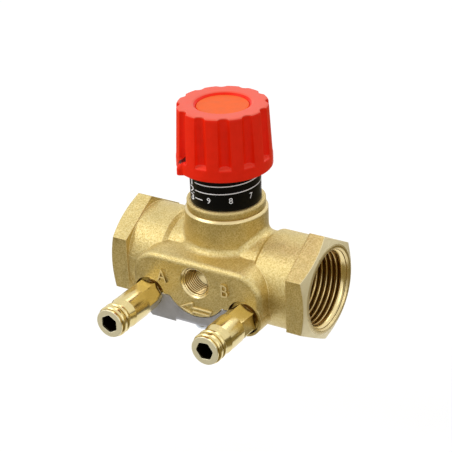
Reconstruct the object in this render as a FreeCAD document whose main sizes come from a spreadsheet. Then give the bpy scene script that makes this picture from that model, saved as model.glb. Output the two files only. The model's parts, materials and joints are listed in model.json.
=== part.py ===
"""Hand-set balancing valve with a dial, a fluted knob and two test plugs.

The sizes are worked out about the valve's centre, where the pipe's axis (X) meets the stem's axis (Z).
The front, with the test plugs, faces -Y. Each piece is then placed so that the origin of the part is the
outer end of the inlet thread on the pipe's axis. The knob stands fully open.
"""
import FreeCAD, Part
import os
import re
import Sketcher

SIZES = {
    # body casting along the pipe
    "inlet_reach": 37.5,
    "outlet_reach": 36.3,
    "hex_across_flats": 32.0,
    "hex_width": 7.0,
    "hex_face_radius": 14.5,
    "hex_chamfer_length": 1.7,
    "band_radius": 15.65,
    "band_inner_x": 16.4,
    "band_slope": 1.3,
    "centre_radius": 14.5,
    # neck for the bonnet
    "neck_radius": 13.55,
    "neck_top": 21.95,
    "neck_chamfer": 0.7,
    "neck_fillet": 2.5,
    # pipe threads, to the thread's outer radius
    "pipe_thread_radius": 13.22,
    "pipe_thread_depth": 15.0,
    "mouth_chamfer": 0.4,
    # front boss
    "boss_reach": 20.75,
    "boss_half_width": 24.2,
    "boss_top": 10.0,
    "boss_drop": 3.9,
    "boss_corner_radius": 9.0,
    "boss_edge_radius": 2.0,
    # threaded port in the boss, to the thread's outer radius
    "port_height": 2.8,
    "port_lobe_radius": 11.9,
    "port_thread_radius": 4.864,
    "port_thread_depth": 7.6,
    "port_chamfer": 0.55,
    "port_drill_radius": 1.5,
    # places for the test plugs
    "plug_spacing": 35.4,
    "plug_drop": 5.13,
    "plug_lobe_radius": 6.5,
    "counterbore_radius": 5.7,
    "counterbore_depth": 5.6,
    "plug_drill_radius": 1.25,
    "plug_wall": 1.9,
    # water passages and seat
    "passage_width": 13.0,
    "passage_floor_wall": 4.5,
    "passage_roof": 9.5,
    "passage_mouth_rise": 6.5,
    "passage_mouth_drop": 9.0,
    "seat_web": 2.6,
    "seat_radius": 7.5,
    "seat_lip_radius": 9.0,
    "seat_lip_height": 1.0,
    "chamber_radius": 10.6,
    # bonnet and its seals
    "bonnet_thread_radius": 11.6,
    "bonnet_thread_length": 6.95,
    "bonnet_flange_radius": 12.82,
    "bonnet_flange_height": 2.85,
    "bonnet_edge": 0.3,
    "bonnet_hub_radius": 9.5,
    "bonnet_hub_top": 35.5,
    "bonnet_ring_section": 0.9,
    "bonnet_ring_rise": 1.6,
    "spindle_ring_section": 0.8,
    "spindle_ring_rise": 4.0,
    "spindle_ring_spacing": 13.5,
    "thread_clearance": 0.05,
    "ring_clearance": 0.03,
    "groove_clearance": 0.12,
    # dial sleeve
    "drum_radius": 11.5,
    "drum_top": 37.5,
    "drum_chamfer": 0.4,
    # spindle and its lift
    "spindle_radius": 4.5,
    "spindle_pitch": 3.0,
    "spindle_turns": 3.0,
    "spindle_collar_radius": 6.0,
    "collar_set_in": 1.4,
    "collar_clearance": 0.4,
    "drive_bottom": 44.0,
    "drive_set_in": 5.4,
    "drive_across_flats": 6.0,
    "drive_clearance": 0.08,
    "swivel_radius": 3.0,
    "swivel_clearance": 0.05,
    "seat_gap": 0.05,
    # cone, its rubber disc, washer and clip
    "cone_radius": 9.8,
    "cone_height": 4.6,
    "cone_chamfer": 0.8,
    "seal_radius": 8.9,
    "seal_thickness": 2.0,
    "seal_stand_out": 0.35,
    "washer_radius": 5.5,
    "washer_thickness": 1.0,
    "clip_radius": 4.6,
    "clip_thickness": 0.8,
    "clip_groove_radius": 2.3,
    "clip_opening": 3.4,
    # knob
    "knob_top": 57.2,
    "knob_bottom": 36.15,
    "knob_top_radius": 14.6,
    "knob_skirt_radius": 15.5,
    "knob_skirt_height": 4.2,
    "knob_edge": 0.6,
    "knob_cavity_radius": 12.2,
    "knob_cavity_top": 50.0,
    "knob_hub_radius": 6.2,
    "knob_hub_bottom": 45.2,
    "flute_count": 12,
    "flute_radius": 1.95,
    "flute_floor_radius": 13.4,
    "flute_bottom": 41.2,
    "flute_slope": 0.9,
    "pointer_angle": -27.5,
    "pointer_lead": -4.5,
    "pointer_inner_radius": 13.2,
    "pointer_reach": 16.7,
    "pointer_height": 2.3,
    "pointer_tip_width": 0.9,
    "pointer_base_width": 5.2,
    "mark_height": 41.2,
    "mark_size": 3.2,
    "mark_depth": 2.5,
    # lid and screw in the knob's top
    "recess_radius": 9.2,
    "cap_radius": 8.4,
    "cap_set_in": 0.8,
    "cap_thickness": 1.2,
    "cap_clearance": 0.05,
    "screw_pocket_radius": 5.0,
    "knob_screw_radius": 2.0,
    "knob_screw_length": 6.5,
    "knob_screw_head_radius": 3.5,
    "knob_screw_head_height": 2.6,
    "knob_screw_key": 3.0,
    "knob_screw_key_depth": 1.6,
    # test plugs, from the front face back
    "plug_length": 22.9,
    "plug_rim_radius": 4.75,
    "plug_rim_chamfer": 0.3,
    "plug_rim_end": 0.7,
    "plug_groove_radius": 4.35,
    "plug_groove_width": 0.4,
    "plug_bead_radius": 5.2,
    "plug_bead_end": 3.1,
    "plug_bead_slope": 0.4,
    "plug_second_bead_end": 5.0,
    "plug_cone_end": 8.1,
    "plug_shoulder_end": 15.2,
    "plug_across_flats": 9.0,
    "plug_socket": 5.0,
    "plug_socket_depth": 6.0,
    "plug_bore_radius": 1.5,
    "plug_neck_radius": 4.3,
    "plug_collar_radius": 5.35,
    "plug_ring_section": 0.75,
    "plug_shank_radius": 3.5,
    "plug_tip_radius": 1.6,
    "tip_seal_radius": 3.0,
    "tip_seal_thickness": 1.0,
    # bent plate and its screw
    "plate_thickness": 1.2,
    "plate_bottom": 13.1,
    "plate_half_width": 18.5,
    "plate_corner": 1.3,
    "plate_arm_drop": 4.2,
    "plate_bend_radius": 0.5,
    "plate_flange_length": 11.2,
    "plate_flange_half_width": 8.0,
    "plate_clearance": 0.3,
    "plate_screw_setback": 4.2,
    "plate_screw_radius": 1.5,
    "plate_screw_length": 6.0,
    "plate_screw_head_radius": 2.8,
    "plate_screw_head_height": 1.9,
    "screw_pad_radius": 2.6,
}

# places worked out from the sizes
ENDS = (("", "inlet", "inlet_reach"), ("-", "outlet", "outlet_reach"))
PLUG_X = "plug_spacing / 2"
SEAL_BOTTOM = "(seat_lip_height + seat_gap + spindle_pitch * spindle_turns)"
CONE_TOP = "(%s + cone_height)" % SEAL_BOTTOM
BONNET_BOTTOM = "(neck_top - bonnet_thread_length)"
COLLAR_TOP = "(%s + collar_set_in)" % BONNET_BOTTOM
FLANGE_TOP = "(neck_top + bonnet_flange_height)"
DRIVE_TOP = "(knob_top - drive_set_in)"

doc = FreeCAD.newDocument("balancing_valve")
sheet = doc.addObject("Spreadsheet::Sheet", "Sizes")
for row, (alias, number) in enumerate(SIZES.items(), start=1):
    sheet.set("A%d" % row, alias)
    sheet.set("B%d" % row, str(number))
    sheet.setAlias("B%d" % row, alias)
doc.recompute()
pieces = []


def bound(text):
    """A formula in which each size's name is read from the sheet."""
    return re.sub(r"[a-z_]+", lambda word: "Sizes." + word[0] if word[0] in SIZES else word[0], text)


def value(text):
    """The number that a formula gives now."""
    return float(sheet.evalExpression(bound(text)))


def negative(text):
    return "-(%s)" % text


def place(piece, x="0", y="0", z="0", turn=None):
    """Seat a piece at its place about the valve's centre, measured from the inlet thread's outer end."""
    piece.setExpression("Placement.Base.x", bound("mouth_chamfer - inlet_reach + %s" % x))
    piece.setExpression("Placement.Base.y", bound(y))
    piece.setExpression("Placement.Base.z", bound(z))
    if turn:
        piece.setExpression("Placement.Rotation.Angle", bound(turn))
    pieces.append(piece)


def new_body(label, x="0", y="0", z="0", turn=None):
    body = doc.addObject("PartDesign::Body", label)
    body.Label = label
    place(body, x, y, z, turn)
    return body


def new_sketch(body, name, role, x="0", y="0", out="0"):
    """An empty sketch on one of the body's origin planes, shifted in the plane and out of it."""
    sketch = body.newObject("Sketcher::SketchObject", name)
    plane = [feature for feature in body.Origin.OriginFeatures if feature.Role == role][0]
    sketch.AttachmentSupport = [(plane, "")]
    sketch.MapMode = "FlatFace"
    for axis, text in zip("xyz", (x, y, out)):
        sketch.setExpression("AttachmentOffset.Base." + axis, bound(text))
    return sketch


def hold(sketch, kind, text, *targets):
    """Bind one distance or radius of a sketch to a formula."""
    number = sketch.addConstraint(Sketcher.Constraint(kind, *targets, value(text)))
    sketch.setExpression("Constraints[%d]" % number, bound(text))


def polygon(sketch, corners):
    """A closed loop of lines, with each corner held at its two formulas from the sketch's origin."""
    first = sketch.GeometryCount
    count = len(corners)
    points = [FreeCAD.Vector(value(u), value(v), 0) for u, v in corners]
    for index in range(count):
        sketch.addGeometry(Part.LineSegment(points[index], points[(index + 1) % count]), False)
    for index in range(count):
        following = first + (index + 1) % count
        sketch.addConstraint(Sketcher.Constraint("Coincident", first + index, 2, following, 1))
    for index, (u, v) in enumerate(corners):
        hold(sketch, "DistanceX", u, -1, 1, first + index, 1)
        hold(sketch, "DistanceY", v, -1, 1, first + index, 1)
    return sketch


def rectangle(sketch, left, right, low, high):
    return polygon(sketch, [(left, low), (right, low), (right, high), (left, high)])


def circle(sketch, radius, u="0", v="0"):
    """A circle with its centre and radius held at formulas."""
    centre = FreeCAD.Vector(value(u), value(v), 0)
    number = sketch.addGeometry(Part.Circle(centre, FreeCAD.Vector(0, 0, 1), value(radius)), False)
    hold(sketch, "DistanceX", u, -1, 1, number, 3)
    hold(sketch, "DistanceY", v, -1, 1, number, 3)
    hold(sketch, "Radius", radius, number)
    return sketch


def hexagon(sketch, across_flats, first_angle):
    """A regular hexagon about the sketch's origin, with its first corner at the angle in degrees."""
    corner = "%s / 2 / cos(30)" % across_flats
    angles = [first_angle + 60 * index for index in range(6)]
    return polygon(sketch, [("%s * cos(%d)" % (corner, a), "%s * sin(%d)" % (corner, a)) for a in angles])


def turned(body, name, sketch, axis="V_Axis", cut=False):
    """Turn a profile about one of its sketch's axes, as a solid or as a cut."""
    feature = body.newObject("PartDesign::Groove" if cut else "PartDesign::Revolution", name)
    feature.Profile = sketch
    feature.ReferenceAxis = (sketch, [axis])
    feature.Angle = 360
    doc.recompute()
    return feature


def extruded(body, name, sketch, length, cut=False, back=False, both=False):
    """Push a profile out along its sketch's normal, or cut it in against that normal."""
    feature = body.newObject("PartDesign::Pocket" if cut else "PartDesign::Pad", name)
    feature.Profile = sketch
    feature.setExpression("Length", bound(length))
    feature.Reversed = back
    if both:
        feature.SideType = "Symmetric"
    doc.recompute()
    return feature


def rounded(body, name, base, radius, chosen, kind="PartDesign::Fillet"):
    """Round or chamfer the edges of a feature that the test picks out."""
    names = ["Edge%d" % (i + 1) for i, edge in enumerate(base.Shape.Edges) if chosen(edge)]
    feature = body.newObject(kind, name)
    feature.Base = (base, names)
    feature.setExpression("Radius" if kind == "PartDesign::Fillet" else "Size", bound(radius))
    doc.recompute()
    return feature


def middle(edge):
    """The point half way along an edge."""
    return edge.valueAt((edge.FirstParameter + edge.LastParameter) / 2)


def near(first, second):
    return abs(first - second) < 0.01


def is_line(edge):
    return edge.Curve.TypeId == "Part::GeomLine"


def ring(label, radius, section, x="0", y="0", z="0", lying=False):
    """A round rubber ring about Z, or about Y where it is lying."""
    torus = doc.addObject("Part::Torus", label)
    torus.Label = label
    torus.setExpression("Radius1", bound(radius))
    torus.setExpression("Radius2", bound(section))
    if lying:
        torus.Placement = FreeCAD.Placement(FreeCAD.Vector(), FreeCAD.Vector(1, 0, 0), 90)
    place(torus, x, y, z)
    return torus


def make_valve_body():
    """The brass casting: barrel, hexagon ends, neck and boss, then the machined bores and passages."""
    body = new_body("valve_body")
    slope_end = "(band_inner_x + band_slope)"
    outline = []
    for side, _, reach in reversed(ENDS):
        half = [("%s%s" % (side, reach), "0"), ("%s%s" % (side, reach), "hex_face_radius")]
        half += [("%s(%s - hex_width)" % (side, reach), "hex_face_radius")]
        half += [("%s(%s - hex_width)" % (side, reach), "band_radius")]
        half += [("%s%s" % (side, slope_end), "band_radius"), ("%sband_inner_x" % side, "centre_radius")]
        outline += half if side else half[::-1]
    barrel = new_sketch(body, "barrel_profile", "XZ_Plane")
    turned(body, "barrel", polygon(barrel, outline), "H_Axis")

    corner = "(hex_across_flats / 2 / cos(30))"
    for side, name, reach in ENDS:
        start = "%s(%s - hex_width)" % (side, reach)
        end = hexagon(new_sketch(body, name + "_hexagon", "YZ_Plane", out=start), "hex_across_flats", 30)
        extruded(body, name + "_end", end, "hex_width", back=side == "-")
        slant = [("%s%s" % (side, reach), "hex_face_radius")]
        slant += [("%s(%s - hex_chamfer_length)" % (side, reach), corner)]
        slant += [("%s(%s - hex_chamfer_length)" % (side, reach), corner + " + 1")]
        slant += [("%s(%s + 1)" % (side, reach), corner + " + 1")]
        slant += [("%s(%s + 1)" % (side, reach), "hex_face_radius")]
        chamfer = polygon(new_sketch(body, name + "_slant", "XZ_Plane"), slant)
        turned(body, name + "_chamfer", chamfer, "H_Axis", cut=True)

    neck_wall = [("0", "0"), ("neck_radius", "0"), ("neck_radius", "neck_top - neck_chamfer")]
    neck_wall += [("neck_radius - neck_chamfer", "neck_top"), ("0", "neck_top")]
    turned(body, "neck", polygon(new_sketch(body, "neck_profile", "XZ_Plane"), neck_wall))

    add_boss(body)

    def neck_root(edge):
        points = [edge.valueAt(at) for at in (edge.FirstParameter, edge.LastParameter)] + [middle(edge)]
        on_neck = all(near((point.x ** 2 + point.y ** 2) ** 0.5, value("neck_radius")) for point in points)
        return on_neck and points[2].z < value("neck_top - 2 * neck_chamfer") and not is_line(edge)

    rounded(body, "neck_fillet", body.Tip, "neck_fillet", neck_root)
    cut_bores(body)
    return body


def add_boss(body):
    """The front boss: an upper plate, a lobe under the port and a lobe about each test plug."""
    upper = new_sketch(body, "boss_plate_outline", "XZ_Plane")
    rectangle(upper, "-boss_half_width", "boss_half_width", "-boss_drop", "boss_top")
    plate = extruded(body, "boss_plate", upper, "boss_reach")
    front, top = -value("boss_reach"), value("boss_top")
    side = value("boss_half_width")

    def upright_corner(edge):
        point = middle(edge)
        return is_line(edge) and near(abs(point.x), side) and near(point.z, top) and not near(point.y, front)

    corners = rounded(body, "boss_corners", plate, "boss_corner_radius", upright_corner)

    def top_rim(edge):
        point = middle(edge)
        return near(point.y, front) and point.z > value("boss_top - boss_corner_radius")

    rounded(body, "boss_edge", corners, "boss_edge_radius", top_rim)

    lobe = new_sketch(body, "port_lobe_outline", "XZ_Plane")
    centre = FreeCAD.Vector(0, value("port_height"), 0)
    whole = Part.Circle(centre, FreeCAD.Vector(0, 0, 1), value("port_lobe_radius"))
    arc = Part.ArcOfCircle(whole, 3.141593, 6.283185)
    lobe.addGeometry(arc, False)
    lobe.addGeometry(Part.LineSegment(arc.EndPoint, arc.StartPoint), False)
    lobe.addConstraint(Sketcher.Constraint("Coincident", 0, 2, 1, 1))
    lobe.addConstraint(Sketcher.Constraint("Coincident", 1, 2, 0, 1))
    lobe.addConstraint(Sketcher.Constraint("Horizontal", 1))
    lobe.addConstraint(Sketcher.Constraint("PointOnObject", 0, 3, 1))
    lobe.addConstraint(Sketcher.Constraint("PointOnObject", 0, 3, -2))
    hold(lobe, "DistanceY", "port_height", -1, 1, 0, 3)
    hold(lobe, "Radius", "port_lobe_radius", 0)
    extruded(body, "port_lobe", lobe, "boss_reach")

    plugs = new_sketch(body, "plug_lobe_outlines", "XZ_Plane")
    for sign in ("-", ""):
        circle(plugs, "plug_lobe_radius", sign + PLUG_X, "-plug_drop")
    extruded(body, "plug_lobes", plugs, "boss_reach")

    pad = circle(new_sketch(body, "screw_pad_outline", "XY_Plane", y="plate_screw_setback - boss_reach",
                            out="plate_thickness - plate_bottom"), "screw_pad_radius")
    extruded(body, "screw_pad", pad, "plate_bottom - plate_thickness - boss_drop")


def cut_bores(body):
    """The pipe threads' bores, water passages, seat, neck bore, port, plug holes and plate recess."""
    for side, name, reach in ENDS:
        bore = [("%s(%s + 1)" % (side, reach), "0")]
        bore += [("%s(%s + 1)" % (side, reach), "pipe_thread_radius + mouth_chamfer + 1")]
        bore += [("%s(%s - mouth_chamfer)" % (side, reach), "pipe_thread_radius")]
        bore += [("%s(%s - pipe_thread_depth)" % (side, reach), "pipe_thread_radius")]
        bore += [("%s(%s - pipe_thread_depth)" % (side, reach), "0")]
        turned(body, name + "_bore", polygon(new_sketch(body, name + "_bore_profile", "XZ_Plane"), bore),
               "H_Axis", cut=True)

    floor = "(centre_radius - passage_floor_wall)"
    mouth = "(inlet_reach - pipe_thread_depth + 1)"
    rising = [(mouth, "passage_mouth_rise"), (mouth, "-passage_mouth_drop")]
    rising += [("seat_radius", negative(floor)), ("-seat_radius", negative(floor))]
    rising += [("-seat_radius", "-seat_web"), ("chamber_radius + seat_web", "-seat_web")]
    inlet = polygon(new_sketch(body, "inlet_passage_outline", "XZ_Plane"), rising)
    extruded(body, "inlet_passage", inlet, "passage_width", cut=True, both=True)

    far_mouth = "-(outlet_reach - pipe_thread_depth + 1)"
    falling = [(far_mouth, "passage_mouth_rise + seat_lip_height"), (far_mouth, "-passage_mouth_drop")]
    falling += [("-(chamber_radius + 2 * seat_web)", "-3 * seat_web")]
    falling += [("-(seat_lip_radius + seat_lip_height)", "0")]
    falling += [("-(seat_lip_radius + seat_lip_height)", "seat_lip_height")]
    falling += [("-seat_radius", "seat_lip_height"), ("-seat_radius", "passage_roof")]
    outlet = polygon(new_sketch(body, "outlet_passage_outline", "XZ_Plane"), falling)
    extruded(body, "outlet_passage", outlet, "passage_width", cut=True, both=True)

    seat = [("0", "neck_top + 1"), ("bonnet_thread_radius", "neck_top + 1")]
    seat += [("bonnet_thread_radius", BONNET_BOTTOM + " - thread_clearance")]
    seat += [("chamber_radius", BONNET_BOTTOM + " - thread_clearance"), ("chamber_radius", "0")]
    seat += [("seat_lip_radius", "0"), ("seat_lip_radius", "seat_lip_height")]
    seat += [("seat_radius", "seat_lip_height"), ("seat_radius", "-seat_web - 1"), ("0", "-seat_web - 1")]
    turned(body, "neck_bore", polygon(new_sketch(body, "neck_bore_profile", "XZ_Plane"), seat), cut=True)

    port = [("0", "-boss_reach - 1"), ("port_thread_radius + port_chamfer + 1", "-boss_reach - 1")]
    port += [("port_thread_radius", "port_chamfer - boss_reach")]
    port += [("port_thread_radius", "port_thread_depth - boss_reach")]
    port += [("port_drill_radius", "port_thread_depth - boss_reach + port_drill_radius")]
    port += [("port_drill_radius", "-seat_radius"), ("0", "-seat_radius")]
    section = new_sketch(body, "port_profile", "XY_Plane", out="port_height")
    turned(body, "port", polygon(section, port), cut=True)

    shelf = new_sketch(body, "plate_recess_outline", "XZ_Plane", out="boss_reach")
    inner = "plug_spacing / 2 - plug_lobe_radius - plate_clearance"
    outer = "plate_half_width + plate_clearance"
    low = "-(plug_drop + plug_lobe_radius + 1)"
    rectangle(shelf, inner, outer, low, "plate_clearance - plate_arm_drop")
    rectangle(shelf, negative(outer), negative(inner), low, "plate_clearance - plate_arm_drop")
    extruded(body, "plate_recess", shelf, "plate_thickness + thread_clearance", cut=True)

    step = "(counterbore_depth - boss_reach)"
    bottom = "-(passage_width / 2 + plug_wall)"
    tapped_radius = "plug_shank_radius + thread_clearance"
    hole = [("0", "-boss_reach - 1"), ("counterbore_radius", "-boss_reach - 1")]
    hole += [("counterbore_radius", step), (tapped_radius, step), (tapped_radius, bottom)]
    hole += [("plug_drill_radius", bottom), ("plug_drill_radius", "-passage_width / 4")]
    hole += [("0", "-passage_width / 4")]
    for sign, letter in (("-", "a"), ("", "b")):
        name = "plug_hole_" + letter
        sketch = new_sketch(body, name + "_profile", "XY_Plane", x=sign + PLUG_X, out="-plug_drop")
        turned(body, name, polygon(sketch, hole), cut=True)

    sketch = new_sketch(body, "screw_hole_outline", "XY_Plane", y="plate_screw_setback - boss_reach",
                        out="plate_thickness - plate_bottom")
    tapped = circle(sketch, "plate_screw_radius + thread_clearance")
    extruded(body, "screw_hole", tapped, "plate_screw_length - plate_thickness + 0.5", cut=True, back=True)


def make_bonnet():
    """The turned insert: thread, sealing ring groove, flange, hub for the dial and bore for the spindle."""
    bonnet = new_body("bonnet")
    outside = "(bonnet_thread_radius - thread_clearance)"
    bore = "(spindle_radius + thread_clearance)"
    groove = "(spindle_radius + 2 * spindle_ring_section + groove_clearance)"
    half = "(spindle_ring_section + groove_clearance)"
    ring_floor = "(bonnet_thread_radius - thread_clearance - 2 * bonnet_ring_section - groove_clearance)"
    ring_z = "(%s + bonnet_ring_rise)" % BONNET_BOTTOM
    ring_half = "(bonnet_ring_section + groove_clearance)"
    profile = [("spindle_collar_radius + collar_clearance", BONNET_BOTTOM)]
    profile += [("spindle_collar_radius + collar_clearance", COLLAR_TOP + " + seat_gap")]
    profile += [(bore, COLLAR_TOP + " + seat_gap")]
    for row in range(2):
        level = "(%s + spindle_ring_rise + %d * spindle_ring_spacing)" % (BONNET_BOTTOM, row)
        profile += [(bore, "%s - %s" % (level, half)), (groove, "%s - %s" % (level, half))]
        profile += [(groove, "%s + %s" % (level, half)), (bore, "%s + %s" % (level, half))]
    profile += [(bore, "bonnet_hub_top"), ("bonnet_hub_radius - bonnet_edge", "bonnet_hub_top")]
    profile += [("bonnet_hub_radius", "bonnet_hub_top - bonnet_edge"), ("bonnet_hub_radius", FLANGE_TOP)]
    profile += [("bonnet_flange_radius - bonnet_edge", FLANGE_TOP)]
    profile += [("bonnet_flange_radius", FLANGE_TOP + " - bonnet_edge")]
    profile += [("bonnet_flange_radius", "neck_top + bonnet_edge")]
    profile += [("bonnet_flange_radius - bonnet_edge", "neck_top"), (outside, "neck_top")]
    profile += [(outside, "%s + %s" % (ring_z, ring_half)), (ring_floor, "%s + %s" % (ring_z, ring_half))]
    profile += [(ring_floor, "%s - %s" % (ring_z, ring_half)), (outside, "%s - %s" % (ring_z, ring_half))]
    profile += [(outside, BONNET_BOTTOM)]
    turned(bonnet, "bonnet_turning", polygon(new_sketch(bonnet, "bonnet_profile", "XZ_Plane"), profile))

    ring("bonnet_o_ring", outside + " - bonnet_ring_section", "bonnet_ring_section", z=ring_z)
    inside = "spindle_radius + ring_clearance + spindle_ring_section"
    for row, name in enumerate(("lower", "upper")):
        level = "%s + spindle_ring_rise + %d * spindle_ring_spacing" % (BONNET_BOTTOM, row)
        ring("spindle_o_ring_" + name, inside, "spindle_ring_section", z=level)


def make_scale_drum():
    """The black dial sleeve, which stands on the bonnet's flange."""
    drum = new_body("scale_drum")
    inner = "bonnet_hub_radius + thread_clearance"
    wall = [(inner, FLANGE_TOP), ("drum_radius", FLANGE_TOP), ("drum_radius", "drum_top - drum_chamfer")]
    wall += [("drum_radius - drum_chamfer", "drum_top"), (inner, "drum_top")]
    turned(drum, "drum_turning", polygon(new_sketch(drum, "drum_profile", "XZ_Plane"), wall))


def make_spindle():
    """The rising spindle: swivel end with a clip groove, collar, threaded shank and hexagon drive."""
    spindle = new_body("spindle", turn="pointer_angle")
    clip_top = "(%s - washer_thickness - swivel_clearance)" % SEAL_BOTTOM
    clip_low = "(%s - washer_thickness - 3 * swivel_clearance - clip_thickness)" % SEAL_BOTTOM
    shoulder = "%s + swivel_clearance" % CONE_TOP
    profile = [("0", clip_low + " - clip_thickness"), ("swivel_radius", clip_low + " - clip_thickness")]
    profile += [("swivel_radius", clip_low), ("clip_groove_radius", clip_low)]
    profile += [("clip_groove_radius", clip_top), ("swivel_radius", clip_top)]
    profile += [("swivel_radius", shoulder), ("spindle_collar_radius", shoulder)]
    profile += [("spindle_collar_radius", COLLAR_TOP), ("spindle_radius", COLLAR_TOP)]
    profile += [("spindle_radius", "drive_bottom"), ("0", "drive_bottom")]
    turned(spindle, "spindle_turning", polygon(new_sketch(spindle, "spindle_profile", "XZ_Plane"), profile))
    drive = new_sketch(spindle, "drive_outline", "XY_Plane", out="drive_bottom")
    extruded(spindle, "drive", hexagon(drive, "drive_across_flats", 0), DRIVE_TOP + " - drive_bottom")
    tapped = circle(new_sketch(spindle, "tapped_outline", "XY_Plane", out=DRIVE_TOP),
                    "knob_screw_radius + thread_clearance")
    extruded(spindle, "tapped_hole", tapped, "knob_screw_length + 0.5", cut=True)

    clip = new_body("cone_clip")
    outline = new_sketch(clip, "clip_outline", "XY_Plane", out=clip_low + " + swivel_clearance")
    circle(outline, "clip_radius")
    circle(outline, "clip_groove_radius + swivel_clearance")
    extruded(clip, "clip_ring", outline, "clip_thickness")
    gap = new_sketch(clip, "clip_gap_outline", "XY_Plane", out=clip_low)
    rectangle(gap, "0", "clip_radius + 1", "-clip_opening / 2", "clip_opening / 2")
    extruded(clip, "clip_gap", gap, "clip_thickness + 1", cut=True, back=True)


def make_cone():
    """The closing cone with the rubber disc in its underside and the washer that holds the disc."""
    bore = "(swivel_radius + swivel_clearance)"
    recess = "(%s + seal_thickness)" % SEAL_BOTTOM
    skirt = "(%s + seal_stand_out)" % SEAL_BOTTOM
    cone = new_body("valve_cone")
    recess_radius = "seal_radius + swivel_clearance"
    profile = [(bore, recess), (recess_radius, recess), (recess_radius, skirt)]
    profile += [("cone_radius", skirt), ("cone_radius", CONE_TOP + " - cone_chamfer")]
    profile += [("cone_radius - cone_chamfer", CONE_TOP), (bore, CONE_TOP)]
    turned(cone, "cone_turning", polygon(new_sketch(cone, "cone_profile", "XZ_Plane"), profile))
    for name, radius, low, high in (
            ("cone_seal", "seal_radius", SEAL_BOTTOM, recess),
            ("seal_washer", "washer_radius", SEAL_BOTTOM + " - washer_thickness", SEAL_BOTTOM)):
        disc = new_body(name)
        sketch = polygon(new_sketch(disc, name + "_profile", "XZ_Plane"),
                         [(bore, low), (radius, low), (radius, high), (bore, high)])
        turned(disc, name + "_turning", sketch)


def make_knob():
    """The red knob: fluted outside, cavity over the dial, hub on the spindle, pointer and lid recess."""
    knob = new_body("knob", turn="pointer_angle")
    cap_floor = "(knob_top - cap_set_in - cap_thickness)"
    pocket_floor = "(%s + thread_clearance)" % DRIVE_TOP
    profile = [("knob_cavity_radius", "knob_bottom"), ("knob_skirt_radius - knob_edge", "knob_bottom")]
    profile += [("knob_skirt_radius", "knob_bottom + knob_edge")]
    profile += [("knob_skirt_radius", "knob_bottom + knob_skirt_height")]
    profile += [("knob_top_radius", "knob_top - knob_edge"), ("knob_top_radius - knob_edge", "knob_top")]
    profile += [("recess_radius", "knob_top"), ("cap_radius + cap_clearance", "knob_top - cap_set_in")]
    profile += [("cap_radius + cap_clearance", cap_floor), ("screw_pocket_radius", cap_floor)]
    profile += [("screw_pocket_radius", pocket_floor), ("0", pocket_floor)]
    profile += [("0", "knob_hub_bottom"), ("knob_hub_radius", "knob_hub_bottom")]
    profile += [("knob_hub_radius", "knob_cavity_top"), ("knob_cavity_radius", "knob_cavity_top")]
    turned(knob, "knob_turning", polygon(new_sketch(knob, "knob_profile", "XZ_Plane"), profile))

    ahead = "cos(pointer_lead - 90)"
    across = "sin(pointer_lead - 90)"
    tab = [("pointer_inner_radius", "-pointer_base_width / 2"), ("pointer_reach", "-pointer_tip_width / 2")]
    tab += [("pointer_reach", "pointer_tip_width / 2"), ("pointer_inner_radius", "pointer_base_width / 2")]
    outline = [("%s * %s - (%s) * %s" % (radius, ahead, half, across),
                "%s * %s + (%s) * %s" % (radius, across, half, ahead)) for radius, half in tab]
    sketch = polygon(new_sketch(knob, "pointer_outline", "XY_Plane", out="knob_bottom"), outline)
    extruded(knob, "pointer", sketch, "pointer_height")

    arrow = [("0", "mark_height - mark_size / 2"), ("mark_size / 2", "mark_height + mark_size / 2")]
    arrow += [("-mark_size / 2", "mark_height + mark_size / 2")]
    mark = polygon(new_sketch(knob, "pointer_mark_outline", "XZ_Plane", out="knob_skirt_radius + 1"), arrow)
    extruded(knob, "pointer_mark", mark, "1 + mark_depth", cut=True)

    socket = hexagon(new_sketch(knob, "drive_socket_outline", "XY_Plane", out="knob_hub_bottom"),
                     "(drive_across_flats + 2 * drive_clearance)", 0)
    extruded(knob, "drive_socket", socket, DRIVE_TOP + " - knob_hub_bottom + 1", cut=True, back=True)

    valley = [("0", "knob_top + 1"), ("0", "flute_bottom - flute_slope"), ("flute_radius", "flute_bottom")]
    valley += [("flute_radius", "knob_top + 1")]
    core = new_sketch(knob, "flute_profile", "XZ_Plane", out="flute_floor_radius + flute_radius")
    flute = turned(knob, "flute", polygon(core, valley), cut=True)
    flutes = knob.newObject("PartDesign::PolarPattern", "flutes")
    flutes.Originals = [flute]
    flutes.Axis = ([feature for feature in knob.Origin.OriginFeatures if feature.Role == "Z_Axis"][0], [""])
    flutes.Angle = 360
    flutes.setExpression("Occurrences", bound("flute_count"))
    knob.Tip = flutes
    doc.recompute()

    cap = new_body("knob_cap")
    disc = circle(new_sketch(cap, "cap_outline", "XY_Plane", out=cap_floor), "cap_radius")
    extruded(cap, "cap_disc", disc, "cap_thickness")


def make_socket_screw():
    """The socket head screw that holds the knob on the spindle."""
    screw = new_body("knob_screw")
    seat = "(%s + 2 * thread_clearance)" % DRIVE_TOP
    profile = [("0", seat + " - knob_screw_length"), ("knob_screw_radius", seat + " - knob_screw_length")]
    profile += [("knob_screw_radius", seat), ("knob_screw_head_radius", seat)]
    profile += [("knob_screw_head_radius", seat + " + knob_screw_head_height")]
    profile += [("0", seat + " + knob_screw_head_height")]
    turned(screw, "screw_turning", polygon(new_sketch(screw, "screw_profile", "XZ_Plane"), profile))
    top = new_sketch(screw, "key_outline", "XY_Plane", out=seat + " + knob_screw_head_height")
    extruded(screw, "key", hexagon(top, "knob_screw_key", 0), "knob_screw_key_depth", cut=True)


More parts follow.
